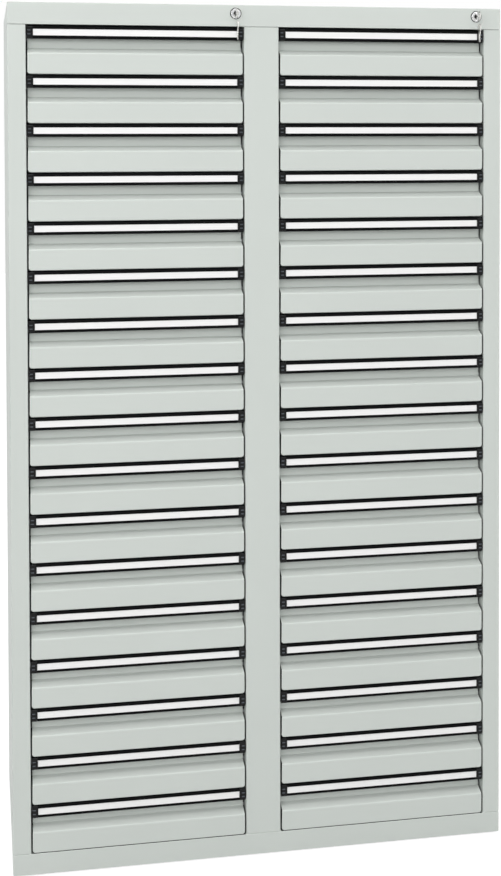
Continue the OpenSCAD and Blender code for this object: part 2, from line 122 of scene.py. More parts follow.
# %% [markdown]
# ## Folded sheet
# A folded sheet is easiest to draw as the line of its outer face. The tools below round the
# corners of that line, set a second line inside it at the sheet's thickness and stretch both into
# a closed strip. A bevel on a ready channel would be quicker, but it can't give the two faces of
# thin sheet their own radius.


# %% Round the corners of a line
def rounded_line(points, radii, steps):
    line = [Vector(points[0])]
    for before, corner, after, radius in zip(points, points[1:], points[2:], radii):
        corner = Vector(corner)
        back = (Vector(before) - corner).normalized()
        ahead = (Vector(after) - corner).normalized()
        half = back.angle(ahead) / 2
        reach = radius / math.tan(half)
        centre = corner + (back + ahead).normalized() * radius / math.sin(half)
        start, stop = corner + back * reach - centre, corner + ahead * reach - centre
        sweep = start.angle_signed(stop)
        for step in range(steps + 1):
            line.append(centre + Matrix.Rotation(-sweep * step / steps, 2) @ start)
    return line + [Vector(points[-1])]


def inner_line(points, thickness):
    """The line that runs beside the points, this far to their left."""
    normals = []
    for a, b in zip(points, points[1:]):
        along = (Vector(b) - Vector(a)).normalized()
        normals.append(Vector((-along.y, along.x)))
    line = [Vector(points[0]) + normals[0] * thickness]
    for point, n, m in zip(points[1:-1], normals, normals[1:]):
        line.append(Vector(point) + (n + m) * thickness / (1 + n.dot(m)))
    return line + [Vector(points[-1]) + normals[-1] * thickness]


test = rounded_line([(0, 0), (10, 0), (10, 10)], [2], 4)
print("a rounded corner has", len(test), "points, one at", [round(v, 2) for v in test[3]])

# %% Turn a folded line into a closed strip of sheet
CASE_BEND, BEND_STEPS = 2.0, 4
CUT_EDGE = 0.6


def plan(u, v, w):
    """A point u across the cabinet, v behind its front face and w up."""
    return Vector((u, FRONT_Y + v, w))


def bevel(bm, edges, width, steps=2, clamp=False):
    bmesh.ops.bevel(bm, geom=list(edges), offset=width, segments=steps, profile=0.5, affect="EDGES",
                    clamp_overlap=clamp)


def folded_strip(bm, outer, low, high):
    """Stands a sheet up on its plan. outer is its outer face, with the sheet on the left of it."""
    wide, tight = CASE_BEND, CASE_BEND - SHEET
    radii = []
    for a, b, c in zip(outer, outer[1:], outer[2:]):
        turn = (Vector(b) - Vector(a)).cross(Vector(c) - Vector(b))
        radii.append((wide, tight) if turn > 0 else (tight, wide))
    rows = []
    for line, bends in zip((outer, inner_line(outer, SHEET)), zip(*radii)):
        points = rounded_line(line, bends, BEND_STEPS)
        rows.append([[bm.verts.new(plan(p.x, p.y, w)) for w in (low, high)] for p in points])
    out, inn = rows
    ends = []
    for i in range(len(out) - 1):
        bm.faces.new((out[i][0], out[i + 1][0], out[i + 1][1], out[i][1]))
        bm.faces.new((inn[i][1], inn[i + 1][1], inn[i + 1][0], inn[i][0]))
        for end in (0, 1):
            bm.faces.new((out[i][end], inn[i][end], inn[i + 1][end], out[i + 1][end]))
            ends.append(bm.edges.get((out[i][end], out[i + 1][end])))
    for i in (0, -1):
        bm.faces.new((out[i][0], out[i][1], inn[i][1], inn[i][0]))
    bevel(bm, ends, CUT_EDGE)


print("sheet", SHEET, "mm thick, bent to", CASE_BEND, "mm outside")

# %% [markdown]
# ## Other shapes
# Blender's own cube and cylinder would each have to be moved, scaled and joined. These tools work
# in one mesh instead: one adds a box with rounded edges, one turns a profile round an axis, and
# one stretches an outline into a plate.


# %% Boxes and turned shapes
def soft_box(bm, low, high, edge=0.3, steps=2):
    low, high = Vector(low), Vector(high)
    place = Matrix.Translation((low + high) / 2) @ Matrix.Diagonal((*(high - low), 1))
    made = bmesh.ops.create_cube(bm, size=1, matrix=place)["verts"]
    if edge:
        bevel(bm, dict.fromkeys(e for v in made for e in v.link_edges), edge, steps, clamp=True)


def turned(bm, profile, origin, steps=48):
    """profile holds (radius, distance along +Y) from one pole or rim to the other."""
    rings = []
    for radius, along in profile:
        ring = []
        for k in range(steps if radius else 1):
            a = 2 * math.pi * k / steps
            spot = Vector((radius * math.cos(a), along, radius * math.sin(a)))
            ring.append(bm.verts.new(Vector(origin) + spot))
        rings.append(ring)
    for near, far in zip(rings, rings[1:]):
        for k in range(steps):
            j = (k + 1) % steps
            pair = [near[k % len(near)], near[j % len(near)], far[j % len(far)], far[k % len(far)]]
            bm.faces.new(list(dict.fromkeys(pair)))


trial = bmesh.new()
soft_box(trial, (0, 0, 0), (10, 10, 10))
print("a box with soft edges has", len(trial.faces), "faces")
trial.free()


# %% Arcs and plates
def arc(cx, cy, radius, start, stop, steps):
    """Points on a circle, with the angles in degrees."""
    points = []
    for k in range(steps + 1):
        a = math.radians(start + (stop - start) * k / steps)
        points.append((cx + radius * math.cos(a), cy + radius * math.sin(a)))
    return points


def prism(bm, outline, low, high, place):
    """Stretches an outline from low to high. Returns the faces, the two ends first."""
    near = [bm.verts.new(place(u, v, low)) for u, v in outline]
    far = [bm.verts.new(place(u, v, high)) for u, v in outline]
    faces = [bm.faces.new(near[::-1]), bm.faces.new(far)]
    for k in range(len(outline)):
        j = (k + 1) % len(outline)
        faces.append(bm.faces.new((near[k], near[j], far[j], far[k])))
    return faces


def edges_of(faces):
    return dict.fromkeys(edge for face in faces for edge in face.edges)


print("a quarter circle in two steps has", len(arc(0, 0, 1, 0, 90, 2)), "points")

# %% [markdown]
# ## Finishing a mesh
# Each mesh is finished in the same way: its doubles are merged, its faces turned outwards, its
# sharp edges marked and its millimetres made metres. Modifiers could stay live, but here they are
# worked out at once on a passing object, so that each piece is a plain mesh in its own place.
# Then it is handed to the body that carries it.

# %% From a mesh in work to a plain mesh
SHARP = math.radians(35)
DOUBLE = 0.002


def finish_mesh(bm):
    bmesh.ops.remove_doubles(bm, verts=bm.verts, dist=DOUBLE)
    bmesh.ops.recalc_face_normals(bm, faces=bm.faces)
    for face in bm.faces:
        face.smooth = True
    for edge in bm.edges:
        if edge.is_manifold:
            edge.smooth = edge.calc_face_angle() < SHARP
    bmesh.ops.scale(bm, verts=bm.verts, vec=(1 / MM,) * 3)
    mesh = bpy.data.meshes.new("shape")
    bm.to_mesh(mesh)
    bm.free()
    return mesh


print("edges over", round(math.degrees(SHARP)), "degrees are shaded sharp")


# %% Modifiers, worked out at once
def worked(data, *modifiers):
    """The plain mesh of a mesh or curve with its modifiers done. A modifier is (kind, settings)."""
    holder = bpy.data.objects.new("holder", data)
    spent = [holder]
    scene.collection.objects.link(holder)
    for kind, settings in modifiers:
        modifier = holder.modifiers.new(kind, kind)
        for key, value in settings.items():
            if hasattr(modifier, key):
                setattr(modifier, key, value)
            else:
                modifier[key] = value
        if kind == "BOOLEAN":
            spent.append(modifier.object)
    bpy.context.view_layer.update()
    graph = bpy.context.evaluated_depsgraph_get()
    mesh = bpy.data.meshes.new_from_object(holder.evaluated_get(graph), depsgraph=graph)
    for item in spent:
        bpy.data.objects.remove(item)
    return mesh


def wall(thickness):
    """Gives a skin its thickness inwards."""
    return "SOLIDIFY", {"thickness": thickness / MM, "offset": -1, "use_even_offset": True}


def cut(bm):
    """Cuts a shape away."""
    tool = bpy.data.objects.new("tool", finish_mesh(bm))
    scene.collection.objects.link(tool)
    return "BOOLEAN", {"object": tool, "solver": "EXACT"}


def merged(*meshes):
    """Finished meshes put back together, in millimetres again."""
    bm = bmesh.new()
    for mesh in meshes:
        bm.from_mesh(mesh)
    bmesh.ops.scale(bm, verts=bm.verts, vec=(MM,) * 3)
    return bm


print("a sheet's modifier and its thickness in metres", wall(SHEET)[0], wall(SHEET)[1]["thickness"])

# %% From a plain mesh to a piece on its body
materials = {}


def true_flats(mesh):
    """Turns the shading of each corner towards its largest face, so that flat sheet looks flat."""
    if mesh.has_custom_normals:
        return mesh
    return worked(mesh, ("WEIGHTED_NORMAL", {"keep_sharp": True}))


def set_finish(faces, index):
    for face in faces:
        face.material_index = index


def piece(name, shape, node, body="cabinet", slot="case_paint", finishes=("powder_coat_grey",)):
    mesh = true_flats(shape if isinstance(shape, bpy.types.Mesh) else finish_mesh(shape))
    mesh.name = name
    made = bpy.data.objects.new(name, mesh)
    scene.collection.objects.link(made)
    # Clearing the slots also resets which face has which finish, so only a grown mesh is cleared
    if mesh.materials:
        mesh.materials.clear()
    for finish in finishes:
        mesh.materials.append(materials[finish])
    if len(finishes) > 1:
        used = {face.material_index for face in mesh.polygons}
        assert used == set(range(len(finishes))), (name, used)
    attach(made, body)
    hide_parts(node)
    return made


# %% [markdown]
# ## Camera
# The camera stands three metres in front of the cabinet and to its left, just under eye height,
# and looks very slightly down. Aimed at the middle it would make the uprights lean, so a lens
# shift takes in the whole height, as on a camera whose back stays vertical.

# %% Place the camera
FRAME_HEIGHT = 876
LENS_PIXELS, LENS_SHIFT = 1438.6, -0.2905
YAW, PITCH, ROLL = (math.radians(a) for a in (10.49, 1.52, -0.17))
EYE = Vector((-0.573, -3.198, 1.507))
SENSOR = 36.0

# Start level and facing the cabinet, then turn in one plane after the other
look = Matrix(((1, 0, 0), (0, 0, -1), (0, 1, 0)))
for angle, a, b in ((YAW, 0, 2), (PITCH, 1, 2), (ROLL, 0, 1)):
    turn = Matrix.Identity(3)
    turn[a][a] = turn[b][b] = math.cos(angle)
    turn[a][b], turn[b][a] = -math.sin(angle), math.sin(angle)
    look = turn @ look
right, down, ahead = look.row
camera = bpy.data.objects.new("camera", bpy.data.cameras.new("camera"))
scene.collection.objects.link(camera)
axes = Matrix((right, -down, -ahead)).transposed()
camera.matrix_world = Matrix.Translation(EYE) @ axes.to_4x4()
camera.data.sensor_width = SENSOR
camera.data.lens = LENS_PIXELS / FRAME_HEIGHT * SENSOR
camera.data.shift_y = LENS_SHIFT
scene.camera = camera
print("lens", round(camera.data.lens, 1), "mm, shift", camera.data.shift_y)

# %% [markdown]
# ## Sky
# A sky that is bright overhead and dim at the horizon gives soft light from everywhere. Polished
# metal looks dull when all it mirrors is white, so it sees a room of its own, bright in front and
# behind and dark at the sides. The camera sees plain white past the object. An image of a studio
# could do all this, but a few nodes are easier to adjust.


# %% Node helpers
def add_node(tree, kind, settings=None, **links):
    """settings sets properties; links gives inputs by name, or i0, i1, as values or outputs."""
    node = tree.nodes.new(kind)
    for key, value in (settings or {}).items():
        setattr(node, key, value)
    for key, value in links.items():
        name = key.replace("_", " ")
        socket = next((s for s in node.inputs if s.name == name and s.enabled), None)
        if socket is None:
            socket = node.inputs[int(key.lstrip("i"))]
        if isinstance(value, bpy.types.NodeSocket):
            tree.links.new(value, socket)
        else:
            socket.default_value = value
    return node


def empty_tree(owner):
    """The node tree of a world or material, with nothing in it."""
    owner.use_nodes = True
    owner.node_tree.nodes.clear()
    return owner.node_tree


print("node helpers are ready")

# %% Sky
OVERHEAD, HORIZON = 0.95, 0.38
WHITE = (1, 1, 1, 1)
# How far from side to front the mirrored room starts and ends to brighten, and its levels
ROOM_FROM, ROOM_TO, ROOM_DARK, ROOM_LIT = 0.3, 0.75, 0.05, 1.0

scene.view_settings.view_transform = "Standard"
scene.world = bpy.data.worlds.new("studio")
sky = empty_tree(scene.world)
rays = add_node(sky, "ShaderNodeLightPath").outputs
seen = add_node(sky, "ShaderNodeMath", {"operation": "MAXIMUM"}, i0=rays["Is Camera Ray"],
                i1=rays["Is Transmission Ray"])
way = add_node(sky, "ShaderNodeTexCoord").outputs["Generated"]
split = add_node(sky, "ShaderNodeSeparateXYZ", Vector=way).outputs
steep = add_node(sky, "ShaderNodeMath", {"operation": "POWER"}, i0=split["Z"], i1=2.0)
level = add_node(sky, "ShaderNodeMapRange", Value=steep.outputs[0], To_Min=HORIZON, To_Max=OVERHEAD)
glow = add_node(sky, "ShaderNodeBackground", Color=WHITE, Strength=level.outputs[0])
across = add_node(sky, "ShaderNodeMath", {"operation": "ABSOLUTE"}, i0=split["Y"])
walls = add_node(sky, "ShaderNodeMapRange", Value=across.outputs[0], From_Min=ROOM_FROM,
                 From_Max=ROOM_TO, To_Min=ROOM_DARK, To_Max=ROOM_LIT)
room = add_node(sky, "ShaderNodeBackground", Color=WHITE, Strength=walls.outputs[0])
mirrored = add_node(sky, "ShaderNodeMixShader", i0=rays["Is Glossy Ray"], i1=glow.outputs[0],
                    i2=room.outputs[0])
plain = add_node(sky, "ShaderNodeBackground", Color=WHITE, Strength=1.0)
both = add_node(sky, "ShaderNodeMixShader", i0=seen.outputs[0], i1=mirrored.outputs[0],
                i2=plain.outputs[0])
add_node(sky, "ShaderNodeOutputWorld", Surface=both.outputs[0])
print("sky level overhead", OVERHEAD, "and at the horizon", HORIZON)

# %% [markdown]
# ## Lamps and floor
# Furniture is lit by large soft boxes, because a small lamp would throw a hard shadow under every
# grip. One stands to the left and a weaker one to the right, a wide one fills in from further
# back, one above makes the upper half brighter, and two more reach the left side and the back.
# The floor is matt and pale. For the camera it glows a little, just enough to reach white away
# from the shadow.

# %% Soft boxes
FRONT, LEFT_TOP, MIDDLE = (0.0, -0.2, 1.1), (-0.5, 0.0, 1.7), (0.0, 0.2, 1.0)
# place, the point it is aimed at, width and height in metres, watts
LAMPS = {
    "left_box": ((-2.4, -3.6, 2.5), FRONT, 1.8, 1.4, 31),
    "right_box": ((2.2, -3.6, 2.8), FRONT, 1.8, 1.4, 14),
    "front_box": ((-0.8, -5.6, 1.9), FRONT, 3.2, 2.4, 44),
    "top_box": ((0.0, -3.4, 6.5), (0.0, 0.0, 1.0), 3.0, 2.0, 90),
    "side_box": ((-2.3, -0.35, 2.9), LEFT_TOP, 1.2, 1.2, 15),
    "back_box": ((2.6, 3.6, 2.7), MIDDLE, 2.6, 2.0, 60),
}
for name, (place, target, width, height, watts) in LAMPS.items():
    data = bpy.data.lights.new(name, "AREA")
    data.shape = "RECTANGLE"
    data.size, data.size_y, data.energy = width, height, watts
    lamp = bpy.data.objects.new(name, data)
    scene.collection.objects.link(lamp)
    lamp.location = place
    lamp.rotation_mode = "QUATERNION"
    lamp.rotation_quaternion = (Vector(target) - Vector(place)).to_track_quat("-Z", "Y")
    # The front box is a bounced light, so polished metal doesn't show it as a bright square
    lamp.visible_glossy = name != "front_box"
print("lamps", list(LAMPS), sum(lamp[-1] for lamp in LAMPS.values()), "watts in all")

# %% Floor
FLOOR = 14.0
FLOOR_GREY, FLOOR_SEEN, FLOOR_GLOW = (0.45, 0.45, 0.45, 1), (0.4, 0.4, 0.4, 1), 0.8
floor_mesh = bpy.data.meshes.new("floor")
corners = [(-FLOOR, -FLOOR, 0), (FLOOR, -FLOOR, 0), (FLOOR, FLOOR, 0), (-FLOOR, FLOOR, 0)]
floor_mesh.from_pydata(corners, [], [(0, 1, 2, 3)])
floor = bpy.data.objects.new("floor", floor_mesh)
scene.collection.objects.link(floor)
floor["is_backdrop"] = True
floor_mesh.materials.append(bpy.data.materials.new("floor_white"))
tree = empty_tree(floor_mesh.materials[0])
matt = add_node(tree, "ShaderNodeBsdfDiffuse", Color=FLOOR_GREY)
shade = add_node(tree, "ShaderNodeBsdfDiffuse", Color=FLOOR_SEEN)
lift = add_node(tree, "ShaderNodeEmission", Color=WHITE, Strength=FLOOR_GLOW)
lifted = add_node(tree, "ShaderNodeAddShader", i0=shade.outputs[0], i1=lift.outputs[0])
rays = add_node(tree, "ShaderNodeLightPath").outputs
seen = add_node(tree, "ShaderNodeMath", {"operation": "MAXIMUM"}, i0=rays["Is Camera Ray"],
                i1=rays["Is Glossy Ray"])
both = add_node(tree, "ShaderNodeMixShader", i0=seen.outputs[0], i1=matt.outputs[0],
                i2=lifted.outputs[0])
add_node(tree, "ShaderNodeOutputMaterial", Surface=both.outputs[0])
print("floor", 2 * FLOOR, "m wide")

# %% [markdown]
# ## Finishes
# A finish starts from what it really is. Image textures could be wrapped round the pieces, but
# they need unwrapping and show their edges, so each finish is noise on object coordinates. A
# grain gives the relief, a tint the colour and a sheen the gloss. Colours are sRGB hex values,
# turned to linear by one function, and every pattern has its size in millimetres.


# %% Colour, and one recipe for every finish
def linear(hex_value):
    channels = [int(hex_value[i : i + 2], 16) / 255 for i in (1, 3, 5)]
    return (*[c / 12.92 if c <= 0.04045 else ((c + 0.055) / 1.055) ** 2.4 for c in channels], 1.0)


def add_finish(name, colours, rough, bump, grain, tint=None, sheen=None, **sockets):
    """grain, tint and sheen are (size in mm, detail, stretch), the last two the grain if left out.

    rough runs with the sheen from low to high, and bump is (depth in mm, strength).
    """
    materials[name] = bpy.data.materials.new(name)
    tree = empty_tree(materials[name])
    where = add_node(tree, "ShaderNodeTexCoord").outputs["Object"]
    patterns = (grain, tint or grain, sheen or grain)
    waves = {}
    for pattern in dict.fromkeys(patterns):
        size, detail, *stretch = pattern
        spot = where
        if stretch:
            spot = add_node(tree, "ShaderNodeMapping", Vector=where, Scale=stretch[0]).outputs[0]
        # Object coordinates are in metres, so the scale is the number of grains in a metre
        wave = add_node(tree, "ShaderNodeTexNoise", Vector=spot, Scale=MM / size, Detail=detail)
        waves[pattern] = wave.outputs[0]
    relief, cloud, gloss = (waves[pattern] for pattern in patterns)
    low, high = (linear(colour) for colour in colours)
    colour = add_node(tree, "ShaderNodeMix", {"data_type": "RGBA"}, i0=cloud, i6=low, i7=high)
    matt = add_node(tree, "ShaderNodeMapRange", Value=gloss, To_Min=rough[0], To_Max=rough[1])
    depth, strength = bump
    normal = add_node(tree, "ShaderNodeBump", Height=relief, Distance=depth / MM, Strength=strength)
    shader = add_node(tree, "ShaderNodeBsdfPrincipled", Base_Color=colour.outputs[2],
                      Roughness=matt.outputs[0], Normal=normal.outputs[0], **sockets)
    add_node(tree, "ShaderNodeOutputMaterial", Surface=shader.outputs[0])
    print("finish", name)


print("light grey in linear values", [round(v, 3) for v in linear("#CFD3CF")])

# %% [markdown]
# ### Powder coat
# The case and the drawer fronts are baked in a light grey powder. It melts into a skin with a
# fine orange peel, about two millimetres from crest to crest and a few hundredths deep. It gives
# the eye a soft, slightly broken sheen, and a faint cloudiness where the skin is thicker.

# %% Powder coat
add_finish("powder_coat_grey", ("#D0D6D1", "#D6DCD7"), (0.44, 0.54), (0.04, 0.35), grain=(2.2, 1.5),
           tint=(240, 3), sheen=(14, 3), IOR=1.5)

# %% [markdown]
# ### Zinc plate
# Runners, lugs and locking bars are zinc plated: a thin bluish metal skin. A coarse noise gives
# the cloudy spangle from the bath, and one stretched along the strip the lines from the rolls.

# %% Zinc plate
add_finish("zinc_plate", ("#A9ADB0", "#C2C5C7"), (0.28, 0.42), (0.01, 0.3),
           grain=(1.2, 2, (1, 0.05, 1)), tint=(9, 2), Metallic=1.0)

# %% [markdown]
# ### Painted cap highlights
# The two short bars in each end cap are painted highlights of the glossy cap, in a dull blue grey
# metal. One noise is enough on so small a piece: where it is darker, it is also smoother.

# %% Painted cap highlights
add_finish("cap_highlight_painted", ("#4A4E52", "#565A5E"), (0.25, 0.35), (0.01, 0.2), grain=(3, 2),
           Metallic=1.0)

# %% [markdown]
# ### Black plastics
# The grip is an extrusion, with faint lines along its length and a satin sheen. End caps, plugs
# and feet are moulded in a spark-eroded die, which leaves a fine even grain.

# %% Black plastics
add_finish("plastic_black_extruded", ("#08090A", "#0E0F10"), (0.30, 0.42), (0.02, 0.4),
           grain=(1.0, 2, (0.02, 1, 1)), tint=(60, 2), IOR=1.46, Specular_IOR_Level=0.05)
add_finish("plastic_black_moulded", ("#0A0B0C", "#111213"), (0.16, 0.26), (0.02, 0.3),
           grain=(0.9, 3), tint=(18, 2), IOR=1.46, Specular_IOR_Level=0.2)

# %% [markdown]
# ### Label card
# The label is uncoated card behind a clear film. The fibres give the white a slight tooth. The
# film could be a second sheet, but the shader's own coat gives its shine without one.

# %% Label card
add_finish("label_card_filmed", ("#F8F8F7", "#FEFEFD"), (0.5, 0.62), (0.01, 0.2),
           grain=(0.8, 4, (0.4, 1, 1)), Coat_Weight=0.4, Coat_Roughness=0.12, IOR=1.5)

# %% [markdown]
# ### Nylon
# The glide strips are natural nylon, milky and a little waxy, and rubbed smoother along the way
# they slide, which is a noise stretched from front to back.

# %% Nylon
add_finish("nylon_natural", ("#E6E4DA", "#EFEDE5"), (0.32, 0.5), (0.01, 0.3),
           grain=(1.5, 2, (1, 0.04, 1)), tint=(40, 2), IOR=1.53)

# %% [markdown]
# ### Chrome and nickel
# Lock flanges and plugs are bright chrome, polished nearly to a mirror. Keys are nickel over
# brass, a little warmer, and scuffed by use in short upright strokes.

# %% Chrome and nickel
add_finish("chrome_bright", ("#D2D3D5", "#DEDFE0"), (0.12, 0.22), (0.004, 0.3), grain=(0.8, 2),
           tint=(6, 2), Metallic=1.0)
add_finish("nickel_key", ("#D8D7D3", "#E5E4E1"), (0.2, 0.4), (0.01, 0.4),
           grain=(1.0, 4, (1, 1, 0.15)), tint=(5, 2), Metallic=1.0)

# %% [markdown]
# ### Aluminium
# The blind rivets are soft aluminium, tumbled dull. Small dents break up its sheen.

# %% Aluminium
add_finish("aluminium_tumbled", ("#C4C6C7", "#D0D1D2"), (0.35, 0.5), (0.02, 0.4), grain=(0.7, 3),
           Metallic=1.0)

# %% [markdown]
# ## The case
# The side panel is one sheet: it comes from the back, turns at the front corner, makes the face
# of the side post and folds back once more beside the drawers. The centre post is a channel with
# two such returns. As boxes they would have no bend to catch the light, so they are drawn as the
# line of their outer face, seen from above. They end a hair short of the cover and the base,
# which leaves the fine seam that shows where such sheets meet.

# %% Side panels and centre post
FRAME_RETURN = post_high.y - post_low.y
BACK_FLANGE = 20.0
FLANGE_Y = box_mm("back_panel")[0].y - FRONT_Y
SEAM_LOW, SEAM_HIGH = 0.3, 0.8
PANEL_LOW, PANEL_HIGH = DECK_TOP + SEAM_LOW, OPENING_TOP - SEAM_HIGH

for side, mirror in (("left", -1), ("right", 1)):
    bm = bmesh.new()
    inside = CASE_HALF - SIDE_POST
    line = [(inside, FRAME_RETURN), (inside, 0), (CASE_HALF, 0), (CASE_HALF, BACK_Y - FRONT_Y)]
    folded_strip(bm, line, PANEL_LOW, PANEL_HIGH)
    flange_low = plan(CASE_HALF - BACK_FLANGE, FLANGE_Y - SHEET, PANEL_LOW)
    soft_box(bm, flange_low, plan(CASE_HALF - SHEET, FLANGE_Y, PANEL_HIGH), 0)
    bmesh.ops.scale(bm, verts=bm.verts, vec=(mirror, 1, 1))
    made = piece(f"{side}_side_panel_sheet", bm, f"{side}_side_panel")
    print(made.name, len(made.data.polygons), "faces")

bm = bmesh.new()
line = [(-POST_HALF, FRAME_RETURN), (-POST_HALF, 0), (POST_HALF, 0), (POST_HALF, FRAME_RETURN)]
folded_strip(bm, line, PANEL_LOW, PANEL_HIGH)
made = piece("centre_post_channel", bm, "centre_post")
print(made.name, len(made.data.polygons), "faces")

# %% [markdown]
# ### Top cover and base
# These are shallow trays turned upside down, a flat sheet with a skirt on all four sides. Their
# corners are welded and ground. Folded strips would leave the corners open, so a box gets one
# small radius all round and loses its underside, and Solidify gives it the sheet's thickness
# inwards. A thin black strip lies on the base under each column. It is painted shade: it stands
# for the shadow in the gap under the lowest drawer, and shows as a dark line.

# %% Top cover and base
NEAR = 0.01
SKIN_STEPS = 4
RIM_ANGLE = math.radians(60)


def skirted_sheet(low, high, *cuts):
    bm = bmesh.new()
    soft_box(bm, low, high, CASE_BEND, SKIN_STEPS)
    under = [f for f in bm.faces if f.calc_center_median().z < low.z + CASE_BEND + NEAR]
    bmesh.ops.delete(bm, geom=under, context="FACES")
    for vert in bm.verts:
        if vert.is_boundary:
            vert.co.z = low.z
    rim = {"width": CUT_EDGE / MM, "segments": 2, "limit_method": "ANGLE", "angle_limit": RIM_ANGLE}
    return merged(worked(finish_mesh(bm), wall(SHEET), ("BEVEL", rim), *cuts))


BARREL_R, BARREL_PLAY = 9.0, 0.1
DRILL = 6.0
locks, holes = {}, []
for side in COLUMN_X:
    middle = sum(box_mm(f"{side}_lock_barrel"), Vector()) / 2
    locks[side] = Vector((middle.x, FRONT_Y, middle.z))
    hole = bmesh.new()
    reach = BARREL_R + BARREL_PLAY
    turned(hole, [(0, -DRILL), (reach, -DRILL), (reach, DRILL), (0, DRILL)], locks[side])
    holes.append(cut(hole))
bm = skirted_sheet(top_low, top_high, *holes)
# The front skirt folds back over the openings, so the rail looks as thick as the posts
lip_low = (top_low.x + SHEET, FRONT_Y + SHEET, OPENING_TOP)
soft_box(bm, lip_low, (top_high.x - SHEET, FRONT_Y + FRAME_RETURN, OPENING_TOP + SHEET))
piece("top_cover_sheet", bm, "top_cover")

bm = skirted_sheet(*box_mm("base_tray"))
known = set(bm.faces)
# A black strip of painted shade under each column, for the shadow in the gap under the lowest
# drawer
SHADE_STRIP_IN, SHADE_STRIP_L, SHADE_STRIP_H, SHADE_STRIP_SUNK, SHADE_STRIP_SHORT = 0.8, 14.0, 0.8, 0.6, 2.0
for x in COLUMN_X.values():
    half = OPENING / 2 - SHADE_STRIP_SHORT
    shade_strip_low = plan(x - half, SHADE_STRIP_IN, DECK_TOP - SHADE_STRIP_SUNK)
    soft_box(bm, shade_strip_low, plan(x + half, SHADE_STRIP_IN + SHADE_STRIP_L, DECK_TOP + SHADE_STRIP_H))
set_finish(set(bm.faces) - known, 1)
piece("base_tray_sheet", bm, "base_tray", finishes=("powder_coat_grey", "plastic_black_extruded"))
print("top cover with", len(holes), "lock holes at height", round(locks["left"].z, 1))

# %% [markdown]
# ### Back panel and rivets
# The back is one flat sheet laid on the rear flanges. Blind rivets hold it. They could be copied
# by hand, but they repeat along three lines, so Geometry Nodes make them: three seed points
# become three columns of points, and each point gets a domed head, which is a ball pressed flat
# from front to back.

# %% Back panel
bm = bmesh.new()
soft_box(bm, *box_mm("back_panel"))
made = piece("back_panel_sheet", bm, "back_panel")
print(made.name, len(made.data.polygons), "faces")

# %% Build the rivet tree
grow = bpy.data.node_groups.new("rivet_columns", "GeometryNodeTree")
for way in ("INPUT", "OUTPUT"):
    grow.interface.new_socket("Geometry", in_out=way, socket_type="NodeSocketGeometry")
keys = {}
for label, kind in (("Rivets", "Int"), ("Step", "Float"), ("Radius", "Float"), ("Height", "Float")):
    socket = grow.interface.new_socket(label, in_out="INPUT", socket_type=f"NodeSocket{kind}")
    keys[label] = socket.identifier
given = grow.nodes.new("NodeGroupInput").outputs
step = add_node(grow, "ShaderNodeCombineXYZ", Z=given["Step"])
column = add_node(grow, "GeometryNodeMeshLine", Count=given["Rivets"], Offset=step.outputs[0])
columns = add_node(grow, "GeometryNodeInstanceOnPoints", Points=given["Geometry"],
                   Instance=column.outputs[0])
points = add_node(grow, "GeometryNodeRealizeInstances", Geometry=columns.outputs[0])
ball = add_node(grow, "GeometryNodeMeshUVSphere", Segments=20, Rings=10, Radius=given["Radius"])
flatness = add_node(grow, "ShaderNodeMath", {"operation": "DIVIDE"}, i0=given["Height"],
                    i1=given["Radius"])
squeeze = add_node(grow, "ShaderNodeCombineXYZ", X=1.0, Y=flatness.outputs[0], Z=1.0)
head = add_node(grow, "GeometryNodeTransform", Geometry=ball.outputs[0], Scale=squeeze.outputs[0])
heads = add_node(grow, "GeometryNodeInstanceOnPoints", Points=points.outputs[0],
                 Instance=head.outputs[0])
real = add_node(grow, "GeometryNodeRealizeInstances", Geometry=heads.outputs[0])
painted = add_node(grow, "GeometryNodeSetMaterial", Geometry=real.outputs[0],
                   Material=materials["aluminium_tumbled"])
smooth = add_node(grow, "GeometryNodeSetShadeSmooth", i0=painted.outputs[0])
grow.links.new(smooth.outputs[0], grow.nodes.new("NodeGroupOutput").inputs[0])
print("rivet tree with", len(grow.nodes), "nodes and inputs", list(keys))

# %% Grow the rivets
RIVET_R, RIVETS = 4.0, 7
rivet_low, rivet_high = box_mm("back_rivets")
edge_x = rivet_high.x - RIVET_R
first_z, last_z = rivet_low.z + RIVET_R, rivet_high.z - RIVET_R
seeds = bpy.data.meshes.new("seeds")
seed_x = (-edge_x, BACK_FLANGE / 2, edge_x)
seeds.from_pydata([(x / MM, rivet_low.y / MM, first_z / MM) for x in seed_x], [], [])
rivets = worked(seeds, ("NODES", {
    "node_group": grow, keys["Rivets"]: RIVETS, keys["Radius"]: RIVET_R / MM,
    keys["Step"]: (last_z - first_z) / (RIVETS - 1) / MM,
    keys["Height"]: (rivet_high.y - rivet_low.y) / MM,
}))
piece("back_rivet_heads", rivets, "back_rivets", "cabinet", "rivet_aluminium",
      ["aluminium_tumbled"])
print("rivet heads", len(seed_x) * RIVETS, "with", len(rivets.polygons), "faces")

# %% [markdown]
# ## A drawer
# Every drawer is the same, so its pieces are made once, in the middle of a column with the lower
# edge of the front at height nought. The front is a pan: a flat lower face with rounded lower
# corners, a slope that leans back, and an upright wall behind the finger room. It starts as one
# skin with sharp corners. Bevels round the lower corners first and the long bends next, because
# the other way round the bends would pinch, and Solidify makes it sheet. A black moulded plug
# closes each open end and stands out a little into the gap beside the drawer. It is painted
# shade: its black stands for the shadow deep in that gap, a dark line that follows the pan's shape.

# %% Sizes of a drawer
drawer_low, drawer_high = box_mm("drawer_left_01")
FRONT_H = drawer_high.z - drawer_low.z
FRONT_GAP = 3.9
FRONT_HALF = OPENING / 2 - FRONT_GAP
DRAWER_SHEET = 1.0
GRIP_H = 26.0
RECESS_DEPTH, RECESS_H = 22.0, 19.6
SLOPE_H = 11.0
FLAT_H = FRONT_H - GRIP_H - RECESS_H - SLOPE_H
WALL_DROP = 2.6
WALL_LOW, WALL_TOP = FLAT_H + SLOPE_H, FRONT_H - WALL_DROP
PAN_BACK = RECESS_DEPTH + DRAWER_SHEET
